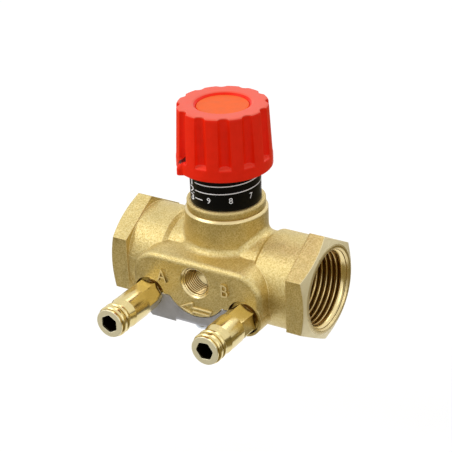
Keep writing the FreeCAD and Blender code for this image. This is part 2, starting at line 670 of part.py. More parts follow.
def make_test_plug(letter, sign, turn):
    """One test plug with its sealing ring and tip seal, its flats turned in degrees about its own axis."""
    x = sign + PLUG_X
    front = "-(boss_reach + plug_length)"
    collar_front = "(plate_thickness + plate_clearance - boss_reach)"
    collar_back = "(counterbore_depth - boss_reach - plate_clearance)"
    ring_y = "((%s + %s) / 2)" % (collar_front, collar_back)
    ring_half = "(plug_ring_section + groove_clearance)"
    ring_floor = "(counterbore_radius - thread_clearance - 2 * plug_ring_section - groove_clearance)"
    tip = "-(passage_width / 2 + plug_wall + plate_clearance)"
    seal_back = "(%s - tip_seal_thickness)" % tip

    outline = [("0", "0"), ("plug_rim_radius - plug_rim_chamfer", "0")]
    outline += [("plug_rim_radius", "plug_rim_chamfer")]
    starts = ("plug_rim_end", "plug_bead_end", "plug_second_bead_end")
    for start, end in zip(starts, starts[1:] + ("plug_cone_end",)):
        behind = "(%s + plug_groove_width)" % start
        outline += [("plug_rim_radius", start), ("plug_groove_radius", start)]
        outline += [("plug_groove_radius", behind), ("plug_rim_radius", behind)]
        if end != "plug_cone_end":
            outline += [("plug_bead_radius", behind + " + plug_bead_slope")]
            outline += [("plug_bead_radius", end + " - plug_bead_slope")]
    outline += [("plug_bead_radius", "plug_cone_end"), ("plug_bead_radius", "plug_shoulder_end")]
    profile = [(radius, "%s + %s" % (front, depth)) for radius, depth in outline]
    profile += [("plug_neck_radius", "%s + plug_shoulder_end" % front), ("plug_neck_radius", collar_front)]
    groove_front, groove_back = "%s - %s" % (ring_y, ring_half), "%s + %s" % (ring_y, ring_half)
    profile += [("plug_collar_radius", collar_front), ("plug_collar_radius", groove_front)]
    profile += [(ring_floor, groove_front), (ring_floor, groove_back)]
    profile += [("plug_collar_radius", groove_back), ("plug_collar_radius", collar_back)]
    profile += [("plug_shank_radius", collar_back), ("plug_shank_radius", seal_back)]
    profile += [("plug_tip_radius", seal_back), ("plug_tip_radius", tip), ("0", tip)]
    plug = new_body("test_plug_" + letter, x=x, z="-plug_drop")
    turned(plug, "plug_turning", polygon(new_sketch(plug, "plug_profile", "XY_Plane"), profile))

    flats = hexagon(new_sketch(plug, "flats_outline", "XZ_Plane", out="boss_reach + plate_clearance"),
                    "plug_across_flats", turn)
    extruded(plug, "flats", flats, "plug_length - plug_shoulder_end - plate_clearance")
    key = hexagon(new_sketch(plug, "key_outline", "XZ_Plane", out="boss_reach + plug_length"),
                  "plug_socket", turn + 30)
    extruded(plug, "key_socket", key, "plug_socket_depth", cut=True)
    bore = new_sketch(plug, "bore_outline", "XZ_Plane", out="boss_reach + plug_length")
    extruded(plug, "bore", circle(bore, "plug_bore_radius"), "plug_length + counterbore_depth", cut=True)

    ring("test_plug_%s_o_ring" % letter, "counterbore_radius - thread_clearance - plug_ring_section",
         "plug_ring_section", x=x, y=ring_y, z="-plug_drop", lying=True)
    seal = new_body("test_plug_%s_tip_seal" % letter, x=x, z="-plug_drop")
    section = new_sketch(seal, "seal_profile", "XY_Plane")
    inner = "plug_tip_radius + thread_clearance"
    outline = [(inner, seal_back), ("tip_seal_radius", seal_back), ("tip_seal_radius", tip), (inner, tip)]
    turned(seal, "seal_turning", polygon(section, outline))


def make_retaining_plate():
    """The bent sheet: front flange with forks about the plugs, and a flange under the boss for the screw."""
    plate = new_body("retaining_plate")
    back = "(plate_flange_length - boss_reach)"
    inside = "(plate_thickness - plate_bottom)"
    angle = [("-boss_reach", "-plate_arm_drop"), ("-boss_reach", "-plate_bottom"), (back, "-plate_bottom")]
    angle += [(back, inside), ("plate_thickness - boss_reach", inside)]
    angle += [("plate_thickness - boss_reach", "-plate_arm_drop")]
    section = polygon(new_sketch(plate, "bend_section", "YZ_Plane"), angle)
    bend = extruded(plate, "bend", section, "2 * plate_flange_half_width", both=True)

    def along_x(y, z):
        def chosen(edge):
            point = middle(edge)
            return near(point.x, 0) and near(point.y, value(y)) and near(point.z, value(z))
        return chosen

    inner = rounded(plate, "inner_bend", bend, "plate_bend_radius",
                    along_x("plate_thickness - boss_reach", inside))
    rounded(plate, "outer_bend", inner, "plate_bend_radius + plate_thickness",
            along_x("-boss_reach", "-plate_bottom"))

    bend_top = "(plate_thickness + plate_bend_radius - plate_bottom)"
    right = [("plate_flange_half_width", bend_top), ("plate_flange_half_width", "-plate_bottom")]
    right += [("plate_half_width - plate_corner", "-plate_bottom")]
    right += [("plate_half_width", "plate_corner - plate_bottom"), ("plate_half_width", "-plate_arm_drop")]
    left = [(negative(u), v) for u, v in reversed(right)]
    front = polygon(new_sketch(plate, "front_outline", "XZ_Plane", out="boss_reach"), right + left)
    extruded(plate, "front", front, "plate_thickness", back=True)

    through = "2 + plate_thickness + plate_bend_radius"
    arc = new_sketch(plate, "port_arc_outline", "XZ_Plane", out="boss_reach + 1")
    circle(arc, "port_lobe_radius + plate_clearance", "0", "port_height")
    extruded(plate, "port_arc", arc, through, cut=True)
    forks = new_sketch(plate, "fork_outlines", "XZ_Plane", out="boss_reach + 1")
    for sign in ("-", ""):
        circle(forks, "plug_neck_radius + plate_clearance", sign + PLUG_X, "-plug_drop")
    extruded(plate, "forks", forks, through, cut=True)

    hole = circle(new_sketch(plate, "screw_outline", "XY_Plane", y="plate_screw_setback - boss_reach",
                             out="-plate_bottom - 1"), "plate_screw_radius + plate_clearance")
    extruded(plate, "screw_hole", hole, "plate_thickness + 2", cut=True, back=True)

    screw = new_body("plate_screw", y="plate_screw_setback - boss_reach", z="-plate_bottom")
    head = "plate_screw_head_height"
    profile = [("0", "-" + head), ("plate_screw_head_radius * 0.7", "-" + head)]
    profile += [("plate_screw_head_radius", "-%s / 2" % head), ("plate_screw_head_radius", "0")]
    profile += [("plate_screw_radius", "0"), ("plate_screw_radius", "plate_screw_length")]
    profile += [("0", "plate_screw_length")]
    turned(screw, "screw_turning", polygon(new_sketch(screw, "screw_profile", "XZ_Plane"), profile))


make_valve_body()
make_bonnet()
make_scale_drum()
make_spindle()
make_cone()
make_knob()
make_socket_screw()
make_test_plug("a", "-", 0)
make_test_plug("b", "", 36)
make_retaining_plate()
doc.recompute()

for item in doc.Objects:
    if "Invalid" in item.State or "Error" in item.State:
        raise RuntimeError("%s did not build: %s" % (item.Label, item.State))
for piece in pieces:
    if piece.Shape.isNull() or not piece.Shape.isValid() or len(piece.Shape.Solids) != 1:
        raise RuntimeError("%s is not one sound solid" % piece.Label)

os.makedirs("parts", exist_ok=True)
for piece in pieces:
    piece.Shape.exportStep("parts/%s.step" % piece.Label)
    print("%-24s %10.2f mm3" % (piece.Label, piece.Shape.Volume))
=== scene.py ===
"""Looks of a hand-set balancing valve: blasted brass casting, cut threads, turned test plugs,
fluted red knob over a printed dial, grey retaining plate, and a white studio around them.

Lengths in the property groups are metres, in the frame of the packed model.
"""
import functools
import json
import math
import bpy
import numpy as np
from mathutils import Matrix, Vector


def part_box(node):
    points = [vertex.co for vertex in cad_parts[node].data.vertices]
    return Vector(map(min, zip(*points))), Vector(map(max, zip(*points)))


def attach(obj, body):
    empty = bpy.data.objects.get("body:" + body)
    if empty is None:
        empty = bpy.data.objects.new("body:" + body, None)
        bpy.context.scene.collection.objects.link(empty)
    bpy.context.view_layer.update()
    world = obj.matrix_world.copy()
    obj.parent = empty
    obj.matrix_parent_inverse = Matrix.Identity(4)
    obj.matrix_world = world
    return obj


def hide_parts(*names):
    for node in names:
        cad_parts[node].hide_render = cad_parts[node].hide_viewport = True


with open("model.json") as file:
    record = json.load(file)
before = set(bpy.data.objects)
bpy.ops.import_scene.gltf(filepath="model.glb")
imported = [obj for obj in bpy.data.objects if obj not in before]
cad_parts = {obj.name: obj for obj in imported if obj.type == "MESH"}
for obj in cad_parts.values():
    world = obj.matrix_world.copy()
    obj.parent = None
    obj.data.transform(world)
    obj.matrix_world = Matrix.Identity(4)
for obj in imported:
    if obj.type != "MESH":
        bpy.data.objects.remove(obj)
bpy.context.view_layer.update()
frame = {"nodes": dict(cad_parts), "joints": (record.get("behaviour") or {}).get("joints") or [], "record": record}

bl_info = {
    "name": "Balancing Valve Looks",
    "version": (1, 0, 0),
    "blender": (4, 5, 0),
    "location": "View3D > Sidebar > Valve",
    "description": "Dresses the packed balancing valve with threads, knob, dial print, plugs and finishes",
    "category": "Object",
}

MM = 0.001
NODES = frame["nodes"]
JOINTS = {joint["name"]: joint for joint in frame["joints"]}
MOUNTS = {mount["name"]: mount for mount in frame["record"]["mounts"]}
STEM_X = JOINTS["knob_turn"]["pos_m"][0]
PLUG_PLACES = {letter: JOINTS["plug_%s_turn" % letter]["pos_m"] for letter in "ab"}
PORT = MOUNTS["impulse_port"]["pos_m"]
BODY_LOW, BODY_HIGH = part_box("valve_body")
KNOB_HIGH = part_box("knob")[1]
DRUM_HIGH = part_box("scale_drum")[1]
PLUG_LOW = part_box("test_plug_a")[0]
BOSS_FACE = BODY_LOW.y
ON_AXIS = 0.001 * MM


def length(default, description):
    """A length property, written here in millimetres."""
    return bpy.props.FloatProperty(description=description, default=default * MM, unit="LENGTH")


def number(default, description):
    return bpy.props.FloatProperty(description=description, default=default)


def spot(default, description):
    """A place along X from the stem and along Z, written here in millimetres."""
    return bpy.props.FloatVectorProperty(description=description, size=2, unit="LENGTH",
                                         default=[part * MM for part in default])


def colour(default, description):
    return bpy.props.FloatVectorProperty(description=description, default=default, size=3, subtype="COLOR",
                                         min=0.0, max=1.0)


class ValveThreads(bpy.types.PropertyGroup):
    """Thread forms cut into the pipe ends and the front port."""
    pipe_pitch: length(1.814, "Distance from turn to turn of the 3/4 inch pipe thread")
    pipe_depth: length(1.15, "Height of the pipe thread's ridges")
    pipe_bevel: length(1.8, "Length of the smooth bevel ahead of the pipe thread")
    port_pitch: length(0.907, "Distance from turn to turn of the 1/8 inch port thread")
    port_depth: length(0.52, "Height of the port thread's ridges")
    port_bevel: length(0.3, "Length of the smooth bevel ahead of the port thread")


class ValveKnob(bpy.types.PropertyGroup):
    """Moulded shape of the red knob."""
    skirt_radius: length(15.5, "Outer radius near the lower rim")
    top_radius: length(14.6, "Outer radius at the upper rim")
    cavity_radius: length(12.2, "Inner radius over the dial")
    cavity_top: length(50.0, "Height of the cavity's ceiling")
    rim_bottom: length(36.15, "Height of the lower rim")
    flute_radius: length(1.95, "Radius of each flute's round section")
    flute_axis: length(15.35, "Distance of each flute's own axis from the stem")
    flute_end: length(41.2, "Height where the flutes' floors run out")
    flute_slope: length(0.9, "Drop of the ledge under each flute")
    flutes: bpy.props.IntProperty(description="Number of flutes", default=12, min=3)
    flute_angle: number(-117.5, "Direction of the flute with the mark, in degrees")
    edge_softness: length(0.3, "Rounding of the flutes' edges")
    pointer_angle: number(-122.0, "Direction of the pointer about the stem, in degrees")
    pointer_reach: length(16.7, "Distance of the pointer's tip from the stem's axis")
    pointer_top: length(40.2, "Height where the pointer leaves the skirt")
    pointer_shoulder: length(38.3, "Height down to which the pointer's top slopes out")
    mark_low: length(39.6, "Height of the lower tip of the triangular mark")
    mark_high: length(42.8, "Height of the upper edge of the triangular mark")
    mark_floor: length(13.0, "Radius of the bottom of the triangular mark")
    recess_radius: length(9.5, "Radius of the recess for the lid")
    cap_radius: length(8.4, "Radius of the orange lid")


class ValveDial(bpy.types.PropertyGroup):
    """White print on the black dial."""
    line_pitch: length(2.62, "Distance between the lines of two turns")
    rise: length(3.0, "Climb of a line over a full turn, the spindle's pitch")
    first_line: length(32.82, "Height at which the line of the first turn starts")
    line_width: length(0.33, "Width of the printed lines")
    digit_height: length(1.95, "Height of the printed tenths")
    turn_height: length(2.1, "Height of the printed turn numbers")
    start_angle: number(-115.6, "Direction where the lines start, in degrees")
    turn_angle: number(-125.4, "Direction of the column of turn numbers, in degrees")
    nine_angle: number(-86.5, "Direction of the digit 9, in degrees")
    print_height: length(0.03, "How far the print stands off the dial")


class ValvePlug(bpy.types.PropertyGroup):
    """Turned shape of the two test plugs, measured back from the nose."""
    rim_radius: length(4.75, "Radius of the rim at the nose and of the cone's front")
    groove_radius: length(4.35, "Radius at the bottom of the three grooves")
    bead_radius: length(5.2, "Radius of the two beads and of the shoulder")
    across_flats: length(9.0, "Width of the spanner flats")
    turn_a: number(0.0, "Direction of a corner of plug A's flats, in degrees")
    turn_b: number(36.0, "Direction of a corner of plug B's flats, in degrees")
    socket: length(5.45, "Width of the hexagon key socket at its broken edge")


class ValveMarks(bpy.types.PropertyGroup):
    """Raised marks of the casting."""
    letter_height: length(4.4, "Height of the letters A and B")
    letter_stretch: number(0.85, "Width of the letters against the font's own")
    letter_a: spot((-12.4, 2.7), "Middle of the letter A")
    letter_b: spot((11.3, 2.9), "Middle of the letter B")
    relief: length(0.6, "How far the marks stand out of the boss")
    ridge_width: length(0.7, "Width of the arrow's outline")


class ValveFinish(bpy.types.PropertyGroup):
    """Colours of the finishes."""
    cast_brass: colour((0.74, 0.61, 0.29), "Blasted casting")
    # Dark brass of the casting's pits, and also the painted shade on the letters' sides.
    pit_brass: colour((0.54, 0.40, 0.13), "Pits of the blasted casting")
    cut_brass: colour((0.86, 0.70, 0.36), "Turned and threaded brass")
    # Painted shade: the dark brown of the thread valleys, the key sockets and the wells round the plugs.
    valley_brass: colour((0.30, 0.15, 0.025), "Thread valleys")
    chamfer: colour((0.97, 0.85, 0.53), "Turned chamfers of the hexagons")
    # Painted highlight: the pale colour of the plugs' front faces stands in for light they catch.
    nose: colour((0.98, 0.90, 0.62), "Front faces of the test plugs")
    red: colour((0.98, 0.019, 0.001), "Knob")
    orange: colour((0.98, 0.135, 0.012), "Lid")
    # Painted sheen: the paler tone of the knob's top ring and the flutes' ledges.
    dust: colour((0.95, 0.2, 0.125), "Paler tone of the knob's ring and ledges")
    black: colour((0.003, 0.003, 0.003), "Dial")
    white: colour((0.97, 0.97, 0.97), "Print")
    plate: colour((0.46, 0.46, 0.49), "Retaining plate")
    card: colour((0.25, 0.20, 0.085), "Cards that darken reflections")
    zinc: colour((0.60, 0.64, 0.70), "Screws")
    rubber: colour((0.012, 0.012, 0.012), "Seals")


class ValveStage(bpy.types.PropertyGroup):
    """Camera and light of the studio."""
    azimuth: number(32.44, "Camera's bearing about the stem, in degrees from the front")
    elevation: number(27.76, "Camera's height angle, in degrees")
    roll: number(-2.28, "Camera's roll, in degrees")
    distance: length(511.1, "From the camera to the valve's centre")
    lens: number(123.77, "Focal length in millimetres on a 36 mm sensor")
    centre_u: number(228.88, "Image column of the valve's centre, of 452")
    centre_v: number(264.12, "Image row of the valve's centre, of 452")
    floor_drop: length(60.0, "Depth of the floor below the pipe's axis")


GROUPS = {
    "valve_threads": ValveThreads,
    "valve_knob": ValveKnob,
    "valve_dial": ValveDial,
    "valve_plug": ValvePlug,
    "valve_marks": ValveMarks,
    "valve_finish": ValveFinish,
    "valve_stage": ValveStage,
}


def settings(name):
    """One of the scene's property groups."""
    return getattr(bpy.context.scene, name)


def softened(corners, radius, steps=5):
    """A closed profile with each corner replaced by a short curve.

    Each corner C is cut back towards its neighbours by its radius, or by under half of the side, to A and B.
    The curve is the parabola (1-t)^2 A + 2t(1-t) C + t^2 B for t from 0 to 1.
    """
    corner = np.asarray(corners, float)
    radius = np.broadcast_to(np.asarray(radius, float), len(corner))[:, None]
    before, after = np.roll(corner, 1, 0) - corner, np.roll(corner, -1, 0) - corner
    lengths = [np.linalg.norm(side, axis=1, keepdims=True) for side in (before, after)]
    start = corner + before / lengths[0] * np.minimum(radius, 0.45 * lengths[0])
    end = corner + after / lengths[1] * np.minimum(radius, 0.45 * lengths[1])
    t = np.linspace(0, 1, steps)[None, :, None]
    curve = (1 - t) ** 2 * start[:, None] + 2 * t * (1 - t) * corner[:, None] + t ** 2 * end[:, None]
    curve = curve.reshape(-1, corner.shape[1])
    return curve[np.linalg.norm(curve - np.roll(curve, 1, 0), axis=1) > 1e-9]


def filled(profile, spacing):
    """A closed profile with points added so that no step along it is longer than the spacing."""
    loop = np.vstack([profile, profile[:1]])
    along = np.concatenate([[0], np.cumsum(np.linalg.norm(np.diff(loop[:, :2], axis=0), axis=1))])
    extra = np.linspace(0, along[-1], int(along[-1] / spacing) + 1)
    stops = np.unique(np.concatenate([along, extra]).round(9))[:-1]
    return np.stack([np.interp(stops, along, loop[:, column]) for column in range(loop.shape[1])], 1)


def smoothstep(low, high, x):
    """0 below low, 1 above high and 3t^2 - 2t^3 between them."""
    t = np.clip((x - low) / (high - low), 0, 1)
    return t * t * (3 - 2 * t)


def full_turn(count):
    """A row of angles that go once round."""
    return np.linspace(0, 2 * math.pi, count, endpoint=False)[None, :]


def angle_from(phi, angle, turn=360.0):
    """How far directions lie from an angle, up to half a turn either way."""
    return np.mod(phi - angle + turn / 2, turn) - turn / 2


def hexagon_radius(across_flats, theta, corner):
    """Radius of a hexagon with a corner at theta 0, half its width over the cosine of the angle from the
    nearest flat's middle, held under the corner radius."""
    from_flat = np.mod(theta, math.pi / 3) - math.pi / 6
    return np.minimum(across_flats / 2 / np.cos(from_flat), corner)


def grid_mesh(name, points, wrap=True):
    """A mesh of quads on a grid of points (rows, columns, 3), closed along its columns and, with wrap,
    along its rows too. The faces are turned so that the volume is positive."""
    rows, columns = points.shape[:2]
    index = np.arange(rows * columns).reshape(rows, columns)
    index = np.hstack([index, index[:, :1]])
    if wrap:
        index = np.vstack([index, index[:1]])
    quads = np.stack([index[:-1, :-1], index[1:, :-1], index[1:, 1:], index[:-1, 1:]], -1).reshape(-1, 4)
    flat = points.reshape(-1, 3)
    a, b, c, d = (flat[quads[:, k]] - flat.mean(0) for k in range(4))
    volume = np.einsum("ij,ij->", a, np.cross(b, c)) + np.einsum("ij,ij->", a, np.cross(c, d))
    if volume < 0:
        quads = quads[:, ::-1]
    mesh = bpy.data.meshes.new(name)
    mesh.vertices.add(len(flat))
    mesh.vertices.foreach_set("co", flat.astype(np.float32).ravel())
    mesh.loops.add(quads.size)
    mesh.loops.foreach_set("vertex_index", quads.astype(np.int32).ravel())
    mesh.polygons.add(len(quads))
    mesh.polygons.foreach_set("loop_start", np.arange(0, quads.size, 4, dtype=np.int32))
    mesh.polygons.foreach_set("use_smooth", np.ones(len(quads), bool))
    mesh.update(calc_edges=True)
    mesh.validate()
    return mesh


def text_mesh(name, text, tall):
    """A character's solid as a mesh, its points across and up from its middle at the height given, and which
    of them lie in front."""
    curve = bpy.data.curves.new(name, "FONT")
    curve.body = text
    curve.extrude = 0.05
    curve.resolution_u = 6
    holder = bpy.data.objects.new(name + "_text", curve)
    bpy.context.scene.collection.objects.link(holder)
    bpy.context.view_layer.update()
    mesh = bpy.data.meshes.new_from_object(holder.evaluated_get(bpy.context.evaluated_depsgraph_get()))
    bpy.data.objects.remove(holder)
    bpy.data.curves.remove(curve)
    points = np.empty(len(mesh.vertices) * 3, np.float32)
    mesh.vertices.foreach_get("co", points)
    points = points.reshape(-1, 3).astype(float)
    flat = points[:, :2] - (points.max(0) + points.min(0))[:2] / 2
    return mesh, flat * tall / np.ptp(flat[:, 1]), points[:, 2] > 0


def reshape(mesh, points):
    """Move a mesh's points to their places in the part's frame."""
    mesh.vertices.foreach_set("co", points.astype(np.float32).ravel())
    mesh.update()


def add_piece(name, mesh, body, material, replaces=()):
    """Link a mesh as a piece that rides on a body and may stand for CAD nodes."""
    piece = bpy.data.objects.new(name, mesh)
    bpy.context.scene.collection.objects.link(piece)
    mesh.materials.clear()
    mesh.materials.append(material)
    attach(piece, body)
    if replaces:
        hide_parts(*replaces)
    return piece


def about_stem(radius, height, phi):
    """Points at a radius and height about the stem's axis, in the direction phi."""
    return np.stack(np.broadcast_arrays(STEM_X + radius * np.cos(phi), radius * np.sin(phi), height), -1)


def about_y(place, radius, y, theta):
    """Points at a radius about an axis that runs along Y through a place."""
    x, z = place[0] + radius * np.cos(theta), place[2] + radius * np.sin(theta)
    return np.stack(np.broadcast_arrays(x, y, z), -1)


def thread_grid(major, pitch, depth, bevel, end, turns_step=14, around=120):
    """Inner wall and outer skin of a cut thread, as radius and distance on a closed grid.

    From 0 to the bevel's end the wall narrows in a straight line from the major radius by the depth, with a
    fine groove across the bevel. Behind it the radius is the major one less the depth times min(1, t / 0.84),
    where t is the triangle wave |2 f - 1| of the fraction f of (distance / pitch - angle / a full turn), and
    the valleys fade in over half a pitch. The skin is a plain cylinder just outside the major radius.
    """
    theta = full_turn(around)
    lead = bevel * np.array([0.0, 0.24, 0.26, 0.34, 0.36])
    along = np.concatenate([lead, np.linspace(bevel, end, int((end - bevel) / pitch * turns_step) + 1)])
    turn = (along[:, None] / pitch - theta / (2 * math.pi)) % 1.0
    ridge = np.minimum(1.0, np.abs(2 * turn - 1) / 0.84)
    opened = smoothstep(bevel, bevel + pitch / 2, along)[:, None]
    narrowed = np.minimum(1.0, along / bevel)[:, None]
    wall = major - depth * narrowed * (1 - opened * (1 - ridge))
    wall[2:4] += 0.1 * depth
    skin = np.full((2, around), major + 0.02 * MM)
    radius = np.vstack([wall, skin])
    distance = np.concatenate([along, [end, 0.0]])[:, None] * np.ones((1, around))
    return radius, distance, theta


def put(tree, given, socket):
    """Set a socket to a plain value, or link it to a value or to another node's output."""
    if isinstance(given, Value):
        given = given.socket
    if isinstance(given, bpy.types.NodeSocket):
        tree.links.new(given, socket)
    else:
        socket.default_value = given


def node(tree, kind, inputs=(), **properties):
    """Add a node, set its properties, then put something into each input named."""
    made = tree.nodes.new(kind)
    for key, chosen in properties.items():
        setattr(made, key, chosen)
    for key, given in dict(inputs).items():
        put(tree, given, made.inputs[key])
    return made


class Value:
    """A number in a shader tree. Arithmetic, comparisons and ranges with it add nodes to that tree."""

    def __init__(self, tree, socket):
        self.tree = tree
        self.socket = socket

    def maths(self, operation, *others):
        made = node(self.tree, "ShaderNodeMath", enumerate((self,) + others), operation=operation)
        return Value(self.tree, made.outputs[0])

    __add__ = functools.partialmethod(maths, "ADD")
    __sub__ = functools.partialmethod(maths, "SUBTRACT")
    __mul__ = functools.partialmethod(maths, "MULTIPLY")
    __or__ = functools.partialmethod(maths, "MAXIMUM")
    __lt__ = functools.partialmethod(maths, "LESS_THAN")
    __gt__ = functools.partialmethod(maths, "GREATER_THAN")
    __abs__ = functools.partialmethod(maths, "ABSOLUTE")

    def near(self, other, reach):
        """1 within the reach of another value, 0 beyond it."""
        return self.maths("COMPARE", other, reach)

    def ramp(self, low, high, start=0.0, end=1.0):
        """From start to end as the value goes from low to high, held beyond them."""
        limits = {"Value": self, "From Min": low, "From Max": high, "To Min": start, "To Max": end}
        return Value(self.tree, node(self.tree, "ShaderNodeMapRange", limits).outputs[0])

    def spread(self, start, end):
        """From start to end as the value goes from 0 to 1."""
        return self.ramp(0.0, 1.0, start, end)

    def blend(self, first, second):
        """A colour between two others."""
        return node(self.tree, "ShaderNodeMix", {0: self, 6: first, 7: second}, data_type="RGBA").outputs[2]


def split(tree, vector):
    """The three parts of a vector."""
    return [Value(tree, part) for part in node(tree, "ShaderNodeSeparateXYZ", {"Vector": vector}).outputs]


def from_spot(across, up, spot=(0.0, 0.0)):
    """How far two values lie from a spot in their plane."""
    across, up = across - spot[0], up - spot[1]
    return (across * across + up * up).maths("SQRT")


def from_plugs(x, z):
    """Distance from the nearer plug's axis."""
    first, second = (from_spot(x, z, (spot[0], spot[2])) for spot in PLUG_PLACES.values())
    return first.maths("MINIMUM", second)


def noise(tree, dimensions="3D", **sockets):
    """Blender's noise texture as a value."""
    return Value(tree, node(tree, "ShaderNodeTexNoise", sockets, noise_dimensions=dimensions).outputs[0])


def shade(base, share):
    """A colour made darker or lighter by a share, as the four numbers that a socket takes."""
    return [min(1.0, channel * share) for channel in base] + [1.0]


def made_once(store):
    """Look for a name in one of Blender's stores, and make the thing only where it isn't there yet. The
    maker's own name is the name where none is given."""
    def wrap(make):
        @functools.wraps(make)
        def find(name=make.__name__, *details):
            return getattr(bpy.data, store).get(name) or make(name, *details)
        return find
    return wrap


def new_group(name, inputs, outputs):
    """An empty shader node group of number sockets, apart from an input called Vector, and its inputs."""
    group = bpy.data.node_groups.new(name, "ShaderNodeTree")
    for label in inputs:
        kind = "NodeSocketVector" if label == "Vector" else "NodeSocketFloat"
        group.interface.new_socket(label, in_out="INPUT", socket_type=kind)
    for label in outputs:
        group.interface.new_socket(label, in_out="OUTPUT", socket_type="NodeSocketFloat")
    given = group.nodes.new("NodeGroupInput").outputs
    return group, [Value(group, given[label]) for label in inputs]


@made_once("node_groups")
def surface_grain(name):
    """Grain of a blasted or moulded face: fine noise and cells give the height, slow noise gives the tone."""
    group, (vector, grains) = new_group(name, ("Vector", "Grains"), ("Height", "Tone"))
    fine = noise(group, Vector=vector, Scale=grains, Detail=3.0, Roughness=0.6)
    slow = noise(group, Vector=vector, Scale=grains * 0.1, Detail=4.0, Roughness=0.55)
    cells = node(group, "ShaderNodeTexVoronoi", {"Vector": vector, "Scale": grains * 0.7})
    height = Value(group, cells.outputs["Distance"]) * 0.4 + fine * 0.6
    node(group, "NodeGroupOutput", {"Height": height, "Tone": slow.ramp(0.35, 0.65)})
    return group


@made_once("node_groups")
def turning_marks(name):
    """Tool marks of a turned face: noise that depends only on the distance along the axis."""
    group, (along,) = new_group(name, ("Along",), ("Height", "Tone"))
    fine = noise(group, "1D", W=along, Scale=7000.0, Detail=2.0)
    slow = noise(group, "1D", W=along, Scale=900.0, Detail=3.0)
    node(group, "NodeGroupOutput", {"Height": fine, "Tone": slow})
    return group


@made_once("node_groups")
def machined_zones(name):
    """Where the casting was cut after blasting: the mask is 1 on the end faces, in the pipe bores and the
    port and round the neck's upper edge, and the slant is 1 on the turned chamfers of the hexagons. The
    well_shade is 1 in the holes round the plugs, for painted shade there."""
    group, (place,) = new_group(name, ("Vector",), ("Mask", "Slant", "Well"))
    x, y, z = split(group, place)
    middle, half = (BODY_LOW.x + BODY_HIGH.x) / 2, (BODY_HIGH.x - BODY_LOW.x) / 2
    outward, from_axis = abs(x - middle), from_spot(y, z)
    face_depth, bore_radius, bore_start = 0.15 * MM, 13.9 * MM, 22.0 * MM
    port_radius, port_front = 5.45 * MM, -10.0 * MM
    chamfer_slope, chamfer_radius = 2.338, 14.3 * MM
    well_radius, well_depth, well_reach = 6.45 * MM, 1.2 * MM, 0.9 * MM
    edge_depth, edge_reach = 0.4 * MM, 0.45 * MM
    ends = outward > half - face_depth
    bores = (from_axis < bore_radius) * (abs(x - STEM_X) > bore_start)
    port = (from_spot(x, z, (PORT[0], PORT[2])) < port_radius) * (y < port_front)
    collar = z.near(BODY_HIGH.z - edge_depth, edge_reach)
    slant = outward * chamfer_slope + from_axis > chamfer_radius + chamfer_slope * half
    well_shade = (from_plugs(x, z) < well_radius) * y.near(BOSS_FACE + well_depth, well_reach)
    node(group, "NodeGroupOutput", {"Mask": ends | bores | port | collar, "Slant": slant, "Well": well_shade})
    return group


class Finish:
    """A new material with one Principled shader, read at the Object coordinates x, y and z."""

    def __init__(self, name, **sockets):
        self.material, self.tree, output = empty_material(name)
        self.shader = node(self.tree, "ShaderNodeBsdfPrincipled")
        put(self.tree, self.shader.outputs[0], output)
        self.place = node(self.tree, "ShaderNodeTexCoord").outputs["Object"]
        self.x, self.y, self.z = split(self.tree, self.place)
        self.set(**sockets)

    def set(self, **sockets):
        """Put something into sockets of the shader, whose names have _ for a space here."""
        for key, given in sockets.items():
            put(self.tree, given, self.shader.inputs[key.replace("_", " ")])

    def group(self, maker, **inputs):
        """What a node group gives, as values."""
        made = node(self.tree, "ShaderNodeGroup", inputs, node_tree=maker())
        return [Value(self.tree, output) for output in made.outputs]

    def grain(self, grains):
        """Height and tone of the grain, with so many grains to the metre."""
        return self.group(surface_grain, Vector=self.place, Grains=grains)

    def soft_edges(self, radius):
        """The normal with edges rounded by a radius, and a mask that is 1 on those edges."""
        soft = node(self.tree, "ShaderNodeBevel", {"Radius": radius}, samples=6).outputs[0]
        true = node(self.tree, "ShaderNodeNewGeometry").outputs["Normal"]
        along = node(self.tree, "ShaderNodeVectorMath", {0: soft, 1: true}, operation="DOT_PRODUCT")
        return soft, Value(self.tree, along.outputs["Value"]).ramp(0.99, 0.85)

    def bump(self, height, strength, depth, **normal):
        """Feed a height to the shader's normal, on top of a softened Normal where one is given."""
        sockets = {"Height": height, "Strength": strength, "Distance": depth, **normal}
        self.set(Normal=node(self.tree, "ShaderNodeBump", sockets).outputs[0])


def empty_material(name):
    """A new material with its node tree, which holds an output alone, and that output's surface."""
    material = bpy.data.materials.new(name)
    material.use_nodes = True
    material.node_tree.nodes.clear()
    output = node(material.node_tree, "ShaderNodeOutputMaterial")
    return material, material.node_tree, output.inputs["Surface"]


